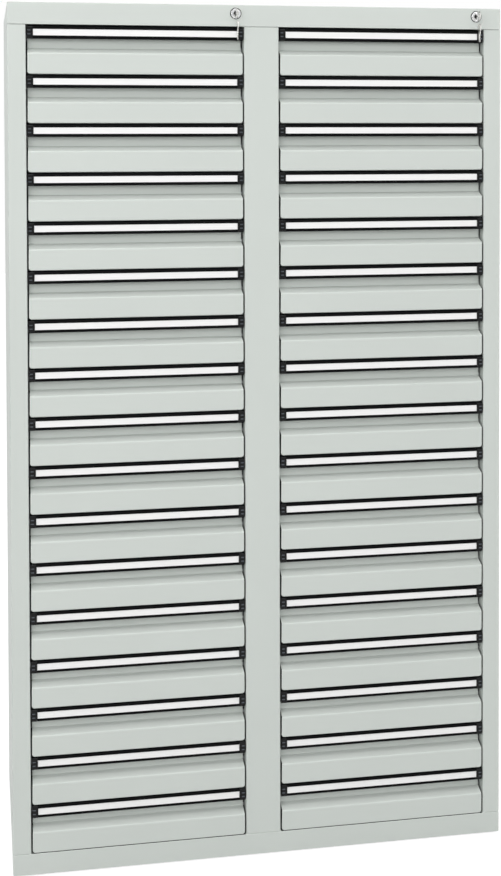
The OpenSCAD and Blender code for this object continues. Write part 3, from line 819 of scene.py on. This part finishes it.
# The pan seen from its end: distance behind the front face, height
PAN = [(PAN_BACK, 0), (0, 0), (0, FLAT_H), (RECESS_DEPTH, WALL_LOW), (RECESS_DEPTH, WALL_TOP)]
GLIDE_W = 7.6
TRAY_HALF = drawer_high.x - COLUMN_X["left"] - GLIDE_W
TRAY_BACK = drawer_high.y - FRONT_Y
TRAY_DROP, TRAY_FLOOR = 9.0, 2.0
TRAY_TOP = FRONT_H - TRAY_DROP
print("drawer front", round(2 * FRONT_HALF, 1), "x", round(FRONT_H, 2), "mm")


# %% Front pan
def round_edges(bm, test, radius, steps):
    """Rounds the edges whose middle and direction pass the test."""
    picked = []
    for edge in bm.edges:
        a, b = (vert.co for vert in edge.verts)
        if test((a + b) / 2, b - a):
            picked.append(edge)
    bevel(bm, picked, radius, steps, clamp=True)


LOWER_CORNER, PAN_BEND = 4.5, 1.3
bm = bmesh.new()
ends = [[bm.verts.new((x, y, z)) for y, z in PAN] for x in (-FRONT_HALF, FRONT_HALF)]
for k in range(len(PAN) - 1):
    bm.faces.new((ends[0][k], ends[0][k + 1], ends[1][k + 1], ends[1][k]))
# The ends are closed for now, because only a closed corner can be rounded
for end in ends:
    shelf = bm.verts.new((end[0].co.x, PAN_BACK, WALL_LOW))
    bm.faces.new((*end[:4], shelf))
bmesh.ops.recalc_face_normals(bm, faces=bm.faces)
round_edges(bm, lambda m, d: abs(m.z) < NEAR and abs(abs(m.x) - FRONT_HALF) < NEAR
            and abs(d.y) > PAN_BACK / 2, LOWER_CORNER, 6)
round_edges(bm, lambda m, d: m.y < NEAR and m.z < FLAT_H + NEAR, PAN_BEND, 3)
round_edges(bm, lambda m, d: abs(m.y - RECESS_DEPTH) < NEAR and abs(m.z - WALL_LOW) < NEAR
            and abs(d.x) > FRONT_HALF, PAN_BEND, 3)
ends = [f for f in bm.faces if abs(f.calc_center_median().x) > FRONT_HALF - NEAR]
bmesh.ops.delete(bm, geom=ends, context="FACES_ONLY")
pan_mesh = worked(finish_mesh(bm), wall(DRAWER_SHEET))
print("front pan", len(pan_mesh.polygons), "faces")

# %% Black plugs in the ends of the pan, painted shade in the gap
END_SET, END_IN, END_OUT, END_EDGE = 1.1, 6.0, 2.4, 0.4


def along_front(u, v, w):
    """A point of a section: u behind the front face, v up and w along the drawer."""
    return Vector((w, u, v))


def shade_end_plugs(bm):
    """Black plugs of painted shade for the gap beside a drawer. Their outline lies just inside the
    sheet, and they stand out past its end.
    """
    outline = [tuple(point) for point in inner_line(PAN[:-1], -END_SET)]
    outline.append((PAN_BACK, outline[-1][1]))
    for side in (-1, 1):
        inner, outer = side * (FRONT_HALF - END_IN), side * (FRONT_HALF + END_OUT)
        faces = prism(bm, outline, inner, outer, along_front)
        bevel(bm, faces[1].edges, END_EDGE)


print("end plugs stand out", END_OUT, "of the", FRONT_GAP, "mm gap")

# %% [markdown]
# ### Tray
# Behind the pan sits the tray, a box of thin sheet with softly folded corners and a rim that is
# bent over on itself. Again a skin and Solidify are the short way, as the rim is then two more
# rows of faces. Nylon strips on its sides run in the case's runners. A small zinc lug at the back
# of each side stops the drawer, and the catch low on the right side is what the locking bar
# holds.

# %% Tray
# The rim's height, and how far inwards its sheet folds: its own thickness and a little air
RIM, RIM_FOLD = 6.0, DRAWER_SHEET + 0.25
TRAY_BEND = 1.6
FIXED_GAP = 0.1

bm = bmesh.new()
tray_high = Vector((TRAY_HALF, TRAY_BACK, TRAY_TOP))
soft_box(bm, (-TRAY_HALF, PAN_BACK + FIXED_GAP, TRAY_FLOOR), tray_high, 0)
lid = [f for f in bm.faces if f.calc_center_median().z > tray_high.z - NEAR]
bmesh.ops.delete(bm, geom=lid, context="FACES")
round_edges(bm, lambda m, d: m.z < tray_high.z - NEAR, TRAY_BEND, 3)
rim = [e for e in bm.edges if e.is_boundary]
for inwards, down in ((RIM_FOLD, 0), (0, RIM)):
    fold = bmesh.ops.extrude_edge_only(bm, edges=rim)["geom"]
    for vert in (g for g in fold if isinstance(g, bmesh.types.BMVert)):
        vert.co.x -= math.copysign(inwards, vert.co.x)
        vert.co.y += inwards if vert.co.y < TRAY_BACK / 2 else -inwards
        vert.co.z -= down
    rim = [g for g in fold if isinstance(g, bmesh.types.BMEdge)]
tray_mesh = worked(finish_mesh(bm), wall(DRAWER_SHEET))
print("tray", len(tray_mesh.polygons), "faces")

# %% Glide strips, lugs and catch
GLIDE_FRONT, GLIDE_BACK = 45.0, TRAY_BACK - 3.0
GLIDE_TOP, GLIDE_H = TRAY_TOP - 9.0, 9.0
LUG_W, LUG_L, LUG_LOW, LUG_HIGH = 6.0, 8.0, 2.3, 7.3
# front, back, low, high, how far it stands out from the tray, rounding, finish
GLIDE = (GLIDE_FRONT, GLIDE_BACK, GLIDE_TOP - GLIDE_H, GLIDE_TOP, GLIDE_W, 1.2, 1)
LUG = (GLIDE_BACK - LUG_L, GLIDE_BACK, GLIDE_TOP + LUG_LOW, GLIDE_TOP + LUG_HIGH, LUG_W, 0.6, 2)
CATCH = (32.5, 36.5, 30, 38, GLIDE_W, 0.6, 2)


def side_fittings(bm):
    for side, fittings in ((-1, (GLIDE, LUG)), (1, (GLIDE, LUG, CATCH))):
        for front, back, low, high, width, edge, finish in fittings:
            known = set(bm.faces)
            near, far = sorted((side * (TRAY_HALF + FIXED_GAP), side * (TRAY_HALF + width)))
            soft_box(bm, (near, front, low), (far, back, high), edge)
            set_finish(set(bm.faces) - known, finish)


print("glide strips", round(GLIDE_BACK - GLIDE_FRONT, 1), "mm long")

# %% [markdown]
# ### Label grip
# The grip is a black extrusion. Seen from its end it is a hook: a rounded nose with a shallow
# window for the label, a foot that curls under, and a top leaf that reaches back over the pan's
# wall. It is made as the real one is: the section is drawn once, with arcs, and pushed out to
# length. A moulded cap closes each end and stands a little proud. Two short blue grey bars in its
# face are painted highlights, where the glossy cap catches the lamps. The label is a thin card
# with some room in its window.

# %% Grip section
GRIP_Z = FRONT_H - GRIP_H
NOSE_R, NOSE_STEPS = 4.0, 8
GRIP_WALL, GRIP_INNER = 2.4, 1.0
FOOT_L = 11.4
WINDOW_TOP, WINDOW_H = FRONT_H - 6.0, 14.2
WINDOW_LOW = WINDOW_TOP - WINDOW_H
WINDOW_DEPTH, WINDOW_EDGE = 1.8, 0.35
GRIP_BACK = RECESS_DEPTH - FIXED_GAP
NOSE_TOP = arc(NOSE_R, FRONT_H - NOSE_R, NOSE_R, 90, 180, NOSE_STEPS)
NOSE_LOW = arc(NOSE_R, GRIP_Z + NOSE_R, NOSE_R, 180, 270, NOSE_STEPS)

# The section seen from its end: distance behind the front face, height
GRIP = [(GRIP_BACK, FRONT_H), *NOSE_TOP, (0, WINDOW_TOP + WINDOW_EDGE)]
GRIP += [(WINDOW_EDGE, WINDOW_TOP), (WINDOW_DEPTH, WINDOW_TOP), (WINDOW_DEPTH, WINDOW_LOW)]
GRIP += [(WINDOW_EDGE, WINDOW_LOW), (0, WINDOW_LOW - WINDOW_EDGE), *NOSE_LOW]
GRIP += [(FOOT_L, GRIP_Z), (FOOT_L, GRIP_Z + GRIP_WALL)]
inset = GRIP_WALL + GRIP_INNER
GRIP += arc(WINDOW_DEPTH + inset, GRIP_Z + inset, GRIP_INNER, 270, 180, 4)
GRIP += arc(WINDOW_DEPTH + inset, FRONT_H - inset, GRIP_INNER, 180, 90, 4)
GRIP.append((GRIP_BACK, FRONT_H - GRIP_WALL))
print("grip outline has", len(GRIP), "points")

# %% Grip with its caps, and label card
CAP_IN, CAP_OUT, CAP_PROUD, CAP_EDGE = 10.6, 1.8, 0.8, 0.9
LABEL_HALF, CAP_END = FRONT_HALF - CAP_IN, FRONT_HALF + CAP_OUT
# Half sizes of a painted highlight bar, how far it lies from the cap's end and from the label's
# middle
HIGHLIGHT_BAR_HALF, HIGHLIGHT_BAR_IN, HIGHLIGHT_BAR_UP = Vector((3.1, 0.5, 1.3)), 4.6, 3.9
CARD_MARGIN, CARD_T, CARD_EDGE = 0.5, 0.6, 0.12


def grip_bmesh():
    """The caps get finish 1 and the painted highlight bars in them finish 2."""
    bm = bmesh.new()
    prism(bm, GRIP, -LABEL_HALF, LABEL_HALF, along_front)
    front = [(u - CAP_PROUD, v) for u, v in NOSE_TOP + NOSE_LOW]
    outline = [(GRIP_BACK, FRONT_H), *front, (GRIP_BACK, GRIP_Z)]
    for side in (-1, 1):
        known = set(bm.faces)
        inner = (LABEL_HALF + FIXED_GAP) * side
        faces = prism(bm, outline, inner, CAP_END * side, along_front)
        bevel(bm, edges_of(faces[:2]), CAP_EDGE, 3)
        set_finish(set(bm.faces) - known, 1)
        known = set(bm.faces)
        # Two short bars in each cap's face are painted highlights of the glossy cap
        for way in (-1, 1):
            z = WINDOW_TOP - WINDOW_H / 2 + way * HIGHLIGHT_BAR_UP
            spot = Vector((side * (CAP_END - HIGHLIGHT_BAR_IN), -CAP_PROUD, z))
            soft_box(bm, spot - HIGHLIGHT_BAR_HALF, spot + HIGHLIGHT_BAR_HALF)
        set_finish(set(bm.faces) - known, 2)
    return bm


def label_bmesh():
    bm = bmesh.new()
    half, back = LABEL_HALF - FIXED_GAP, WINDOW_DEPTH - FIXED_GAP
    low = (-half, back - CARD_T, WINDOW_LOW + CARD_MARGIN)
    soft_box(bm, low, (half, back, WINDOW_TOP - CARD_MARGIN), CARD_EDGE)
    return bm


print("label window", round(2 * LABEL_HALF, 1), "x", WINDOW_H, "mm")

# %% [markdown]
# ### All the drawers
# Instances would be lighter, but each drawer slides by itself and is exported by itself, so each
# gets its own copy of the three meshes.

# %% Put a drawer in every place
body_bm = merged(pan_mesh, tray_mesh)
side_fittings(body_bm)
# The black end plugs are painted shade, for the shadow in the gap beside each drawer
known = set(body_bm.faces)
shade_end_plugs(body_bm)
set_finish(set(body_bm.faces) - known, 3)
kinds = {
    "body": (body_bm, "powder_coat_grey", "nylon_natural", "zinc_plate", "plastic_black_moulded"),
    "grip": (grip_bmesh(), "plastic_black_extruded", "plastic_black_moulded", "cap_highlight_painted"),
    "label": (label_bmesh(), "label_card_filmed"),
}
masters = {kind: true_flats(finish_mesh(bm)) for kind, (bm, *_) in kinds.items()}
for kind, mesh in masters.items():
    print("drawer", kind, len(mesh.polygons), "faces")

for side, x in COLUMN_X.items():
    for number in range(1, DRAWERS + 1):
        node = f"drawer_{side}_{number:02d}"
        place = Matrix.Translation(Vector((x, FRONT_Y, box_mm(node)[0].z)) / MM)
        for kind, (_, *finishes) in kinds.items():
            copy = masters[kind].copy()
            copy.transform(place)
            body = f"{side}_drawer_{number:02d}"
            piece(f"{node}_{kind}", copy, node, body, "drawer_paint", finishes)
print("drawers placed", 2 * DRAWERS)

# %% [markdown]
# ## Locks and keys
# The barrel is turned: a chromed flange with a rounded rim, a thin black gasket under it, a plain
# neck that passes the skirt, and a hexagon nut behind. The gasket's black ring round the flange is
# partly painted shade, for the dark edge of the flange. The plug inside it has a chromed rim, a
# black dust shield in its face and a slot for the key. The shield's black is partly painted shade,
# for the shadow of the key in its slot. The slot crosses the round face, so a Boolean cuts it. The
# cam behind it is a plate with a drive pin, held by a screw.

# %% Lock barrel
FLANGE_R, FLANGE_T = 12.0, 2.0
CHROME_R, GASKET_SHADE_T, LOCK_EDGE = 10.7, 0.8, 0.3
PLUG_R, BORE_PLAY = 6.0, 0.08
BARREL_L = FRAME_RETURN - 1.0
BARREL_RIM = 1.0
NUT_R, NUT_T, NUT_EDGE = 13.0, 4.0, 0.4


def rim_points(radius, face, rim, steps):
    """The rounded rim of a turned part, from its face at the left to its outside."""
    return [(radius - rim + r, face + rim + a) for r, a in arc(0, 0, rim, -90, 0, steps)]


def barrel_bmesh(axis):
    """The black ring under the flange gets finish 1. Its edge round the chrome is partly painted
    shade, for the dark edge of the flange.
    """
    bm = bmesh.new()
    bore, edge = PLUG_R + BORE_PLAY, LOCK_EDGE
    profile = [(bore, BARREL_L), (bore, edge - FLANGE_T), (bore + edge, -FLANGE_T)]
    profile += rim_points(CHROME_R, -FLANGE_T, BARREL_RIM, 5)
    profile += [(CHROME_R, -GASKET_SHADE_T), (BARREL_R, -GASKET_SHADE_T), (BARREL_R, BARREL_L)]
    turned(bm, profile + [(bore, BARREL_L)], axis, steps=64)
    known = set(bm.faces)
    # The black ring under the flange is partly painted shade, for the dark edge of the flange
    gasket_shade = [(BARREL_R, -GASKET_SHADE_T), (FLANGE_R - edge, -GASKET_SHADE_T), (FLANGE_R, edge - GASKET_SHADE_T)]
    gasket_shade += [(FLANGE_R, 0), (BARREL_R, 0), (BARREL_R, -GASKET_SHADE_T)]
    turned(bm, gasket_shade, axis, steps=64)
    set_finish(set(bm.faces) - known, 1)
    # A hexagon has its corners at six places on a circle
    faces = prism(bm, arc(0, 0, NUT_R, 0, 300, 5), SHEET, SHEET + NUT_T,
                  lambda u, v, w: Vector((axis.x + u, axis.y + w, axis.z + v)))
    bevel(bm, edges_of(faces), NUT_EDGE)
    return bm


print("lock flange", 2 * FLANGE_R, "mm across")

# %% Lock plug and cam
# The black dust shield is partly painted shade, for the shadow of the key in its slot
SHIELD_SHADE_R, SHIELD_SHADE_SET = 5.0, 0.2
PLUG_FACE, PLUG_RIM = -FLANGE_T - 0.6, 0.5
SHIELD_SHADE_Y = PLUG_FACE + SHIELD_SHADE_SET
CAM_Y, CAM_R, CAM_T, CAM_HUB, CAM_TIP = BARREL_L + 0.5, 12.0, 2.0, PLUG_R + 1.5, 4.0
CAM_GAP, CAM_EDGE = 0.1, 0.25
CAM_TURN = math.radians(45)
KEY_T, KEY_W = 2.0, 7.0
SLOT_PLAY, SLOT_FROM, SLOT_TO = 0.1, -4.0, CAM_Y - 6.0
# The drive pin and the screw's head from the side: radius, distance behind the face they stand on
PIN = [(0, 0), (2.5, 0), (2.5, 5.9), (2.1, 6.4), (0, 6.4)]
SCREW = [(0, -0.1), (2.8, 0), (2.8, 0.9), (2.2, 1.5), (0, 1.5)]


def plug_mesh(axis):
    bm = bmesh.new()
    profile = [(0, SHIELD_SHADE_Y), (SHIELD_SHADE_R, SHIELD_SHADE_Y), (SHIELD_SHADE_R, PLUG_FACE)]
    profile += rim_points(PLUG_R, PLUG_FACE, PLUG_RIM, 4)
    turned(bm, profile + [(PLUG_R, CAM_Y - CAM_GAP), (0, CAM_Y - CAM_GAP)], axis)
    slot = bmesh.new()
    half_t, half_w = KEY_T / 2 + SLOT_PLAY, KEY_W / 2 + SLOT_PLAY
    slot_low = axis + Vector((-half_t, SLOT_FROM, -half_w))
    soft_box(slot, slot_low, axis + Vector((half_t, SLOT_TO, half_w)), 0)
    return worked(finish_mesh(bm), cut(slot))


def cam_bmesh(axis):
    bm = bmesh.new()
    c, s = math.cos(CAM_TURN), math.sin(CAM_TURN)

    def place(u, v, w):
        return Vector((axis.x + c * u - s * v, axis.y + w, axis.z + s * u + c * v))

    spread = math.degrees(math.asin(CAM_TIP / CAM_HUB))
    outline = arc(0, 0, CAM_HUB, spread, 360 - spread, 24) + arc(CAM_R, 0, CAM_TIP, -90, 90, 10)
    bevel(bm, edges_of(prism(bm, outline, CAM_Y, CAM_Y + CAM_T, place)[:2]), CAM_EDGE)
    turned(bm, [(r, CAM_Y + y) for r, y in PIN], place(CAM_R, 0, 0), steps=24)
    turned(bm, [(r, CAM_Y + CAM_T + CAM_GAP + y) for r, y in SCREW], axis, steps=24)
    return bm


print("the cam's pin turns on a radius of", CAM_R, "mm")

# %% Locks in place
for side, axis in locks.items():
    metals = ("chrome_bright", "plastic_black_moulded")
    piece(f"{side}_lock_body", barrel_bmesh(axis), f"{side}_lock_barrel", "cabinet", "lock_chrome",
          metals)
    bm = merged(plug_mesh(axis), finish_mesh(cam_bmesh(axis)))
    shield_shade = axis.y + SHIELD_SHADE_Y
    # The black shield gets the black finish, partly painted shade for the key's shadow in its slot
    set_finish([f for f in bm.faces if all(abs(v.co.y - shield_shade) < NEAR for v in f.verts)], 1)
    piece(f"{side}_plug_and_cam", bm, f"{side}_lock_plug", f"{side}_lock_and_key", "lock_chrome",
          metals)
print("locks placed", len(locks))

# %% [markdown]
# ### Keys
# A key is stamped from nickel-plated brass. It could be cut from a plate with Booleans, but a
# flat curve is quicker: its outline and the hole of the bow, stretched to half the thickness each
# way and given a small bevel, come out as a plate with evenly rounded edges.

# %% Sizes of the keys
KEY_EDGE = 0.35
# Depths of the cuts, the blade before the first and after the last, and the blade's narrower tip
CUTS, FIRST_CUT, LAST_CUT = (0.6, 1.7, 0.9, 2.1, 1.2), 1.5, 4.0
TIP_IN, TIP_L = 1.6, 2.0
# Where the floor of a cut starts and ends, in steps of half a cut
FLOOR_FROM, FLOOR_TO = 0.7, 1.1

BOW_R, SPARE_BOW_R, BOW_HOLE_R, BOW_HOLE_RIM = 11.0, 9.5, 2.5, 3.0
NECK_W, NECK_L, NECK_SUNK, SHOULDER = KEY_W + 2.0, 5.0, 2.0, -3.0
BOW_Y = SHOULDER - NECK_L + NECK_SUNK - BOW_R
HOLE_Y = BOW_Y - BOW_R + BOW_HOLE_RIM + BOW_HOLE_R
KEY_TIP = SLOT_TO - 0.5
RING_R, WIRE_R, RING_PLAY = 9.0, 0.6, 0.3
RING_DROP = BOW_HOLE_R - WIRE_R - RING_PLAY
SPARE_HOLE = 2 * (RING_DROP + RING_R)
SPARE_BOW = SPARE_HOLE - BOW_HOLE_R - BOW_HOLE_RIM + SPARE_BOW_R
SPARE_NECK = SPARE_BOW + SPARE_BOW_R - NECK_SUNK + NECK_L
SPARE_TIP = locks["left"].z - box_mm("left_spare_key")[0].z
print("a key reaches", round(KEY_TIP, 1), "mm in, the other hangs", round(SPARE_TIP, 1), "mm down")


# %% Key outlines
def plate_mesh(outlines, place):
    """Fills flat outlines into a plate. place moves it to where it belongs, in metres."""
    data = bpy.data.curves.new("plate", "CURVE")
    data.dimensions, data.fill_mode = "2D", "BOTH"
    data.extrude = (KEY_T / 2 - KEY_EDGE) / MM
    data.bevel_depth, data.bevel_resolution = KEY_EDGE / MM, 2
    data.offset = -KEY_EDGE / MM
    for outline in outlines:
        spline = data.splines.new("POLY")
        spline.points.add(len(outline) - 1)
        for point, (u, v) in zip(spline.points, outline):
            point.co = (u / MM, v / MM, 0, 1)
        spline.use_cyclic_u = True
    mesh = worked(data)
    mesh.transform(place)
    return finish_mesh(merged(mesh))


def key_outlines(bow_r, bow_v, neck_v, tip_v, hole_v):
    """A key that points up the v axis, with the cuts of its blade on the right, and its hole."""
    gap = math.degrees(math.asin(NECK_W / 2 / bow_r))
    outline = arc(0, bow_v, bow_r, 90 + gap, 450 - gap, 40)
    w = KEY_W / 2
    step = (tip_v - neck_v - LAST_CUT) / (len(CUTS) * 2)
    outline += [(NECK_W / 2, neck_v), (w, neck_v)]
    v = neck_v + FIRST_CUT
    for depth in CUTS:
        outline += [(w, v), (w - depth, v + step * FLOOR_FROM), (w - depth, v + step * FLOOR_TO)]
        v += step * 2
    outline += [(w, v), (w - TIP_IN, tip_v), (TIP_IN - w, tip_v), (-w, tip_v - TIP_L)]
    outline += [(-w, neck_v), (-NECK_W / 2, neck_v)]
    return outline, arc(0, hole_v, BOW_HOLE_R, 360, 15, 23)


inserted = key_outlines(BOW_R, BOW_Y, SHOULDER, KEY_TIP, HOLE_Y)
hanging = key_outlines(SPARE_BOW_R, SPARE_BOW, SPARE_NECK, SPARE_TIP, SPARE_HOLE)
print("the outline of a key has", len(inserted[0]), "points")

# %% [markdown]
# ### Key rings
# A key ring is two turns of round wire, side by side. A torus would show one closed ring, so the
# wire is a curve that winds twice and is given its round section.

# %% Keys and rings in place
RING_TURNS, RING_STEPS, RING_START = 2, 96, 0.6


def split_ring(centre):
    data = bpy.data.curves.new("ring", "CURVE")
    data.dimensions = "3D"
    wire = WIRE_R / 2
    data.bevel_depth, data.bevel_resolution, data.use_fill_caps = wire / MM, 3, True
    spline = data.splines.new("POLY")
    spline.points.add(RING_STEPS)
    for k, point in enumerate(spline.points):
        a = 2 * math.pi * RING_TURNS * k / RING_STEPS + RING_START
        x, z = centre.x + RING_R * math.cos(a), centre.z + RING_R * math.sin(a)
        y = centre.y + (k / RING_STEPS - 0.5) * 2 * wire
        point.co = (*(Vector((x, y, z)) / MM), 1)
    mesh = worked(data)
    for polygon in mesh.polygons:
        polygon.use_smooth = True
    return mesh


for side, axis in locks.items():
    metal = ("key_nickel", ["nickel_key"])
    x, y, z = axis / MM
    # The plate's u axis goes down and its v axis into the lock
    lying = Matrix(((0, 0, 1, x), (0, 1, 0, y), (-1, 0, 0, z), (0, 0, 0, 1)))
    piece(f"{side}_key_plate", plate_mesh(inserted, lying), f"{side}_key", f"{side}_lock_and_key",
          *metal)
    ring = split_ring(Vector((axis.x, axis.y + HOLE_Y, axis.z - RING_DROP - RING_R)))
    piece(f"{side}_split_ring", ring, f"{side}_key_ring", f"{side}_ring", *metal)
    # The hanging plate's v axis goes down from the hole in the other key
    y += HOLE_Y / MM
    standing = Matrix(((0, 0, -1, x), (-1, 0, 0, y), (0, -1, 0, z), (0, 0, 0, 1)))
    piece(f"{side}_hanging_key_plate", plate_mesh(hanging, standing), f"{side}_spare_key",
          f"{side}_hanging_key", *metal)
print("keys placed", 2 * len(locks))

# %% [markdown]
# ## Feet
# The case stands on six moulded feet behind the base skirt. A foot is turned: a flat pad with a
# rounded rim and a thinner stem. The tool turns round Y, so each is stood up after.

# %% Feet
FOOT_R, FOOT_PAD, STEM_R = 20.0, 10.0, 5.0
FOOT_EDGE, PAD_EDGE = 2.0, 1.0
foot_low, foot_high = box_mm("feet")
profile = [(0, 0), (FOOT_R - FOOT_EDGE, 0)] + rim_points(FOOT_R, 0, FOOT_EDGE, 4)
profile += [(FOOT_R, FOOT_PAD - PAD_EDGE), (FOOT_R - PAD_EDGE, FOOT_PAD), (STEM_R, FOOT_PAD)]
profile += [(STEM_R, foot_high.z), (0, foot_high.z)]
bm = bmesh.new()
for x in (foot_low.x + FOOT_R, 0, foot_high.x - FOOT_R):
    for y in (foot_low.y + FOOT_R, foot_high.y - FOOT_R):
        start = len(bm.verts)
        turned(bm, profile, (0, 0, 0), steps=32)
        bm.verts.ensure_lookup_table()
        stand = Matrix.Translation((x, y, 0)) @ Matrix.Rotation(math.radians(90), 4, "X")
        bmesh.ops.transform(bm, matrix=stand, verts=bm.verts[start:])
made = piece("feet_moulded", bm, "feet", "cabinet", "foot_plastic", ["plastic_black_moulded"])
print("feet", len(made.data.polygons), "faces")

# %% [markdown]
# ## What stays as engineered
# Runners, carriers, stops, guides, the partition and the locking bars are plain folded or cut
# sheet. Making them again would add nothing that shows, so they keep their engineering shape and
# take the plated or painted finish.

# %% Finish the plain nodes
zinc = ["runner_carriers", "drawer_stops", "bar_guides"]
zinc += [f"{side}_{part}" for side in COLUMN_X for part in ("runners", "locking_bar")]
for node in ("centre_partition", *zinc):
    mesh = frame["nodes"][node].data
    mesh.materials.clear()
    mesh.materials.append(materials["zinc_plate" if node in zinc else "powder_coat_grey"])
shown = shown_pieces()
print("pieces shown", len(shown), "faces", sum(len(o.data.polygons) for o in shown))
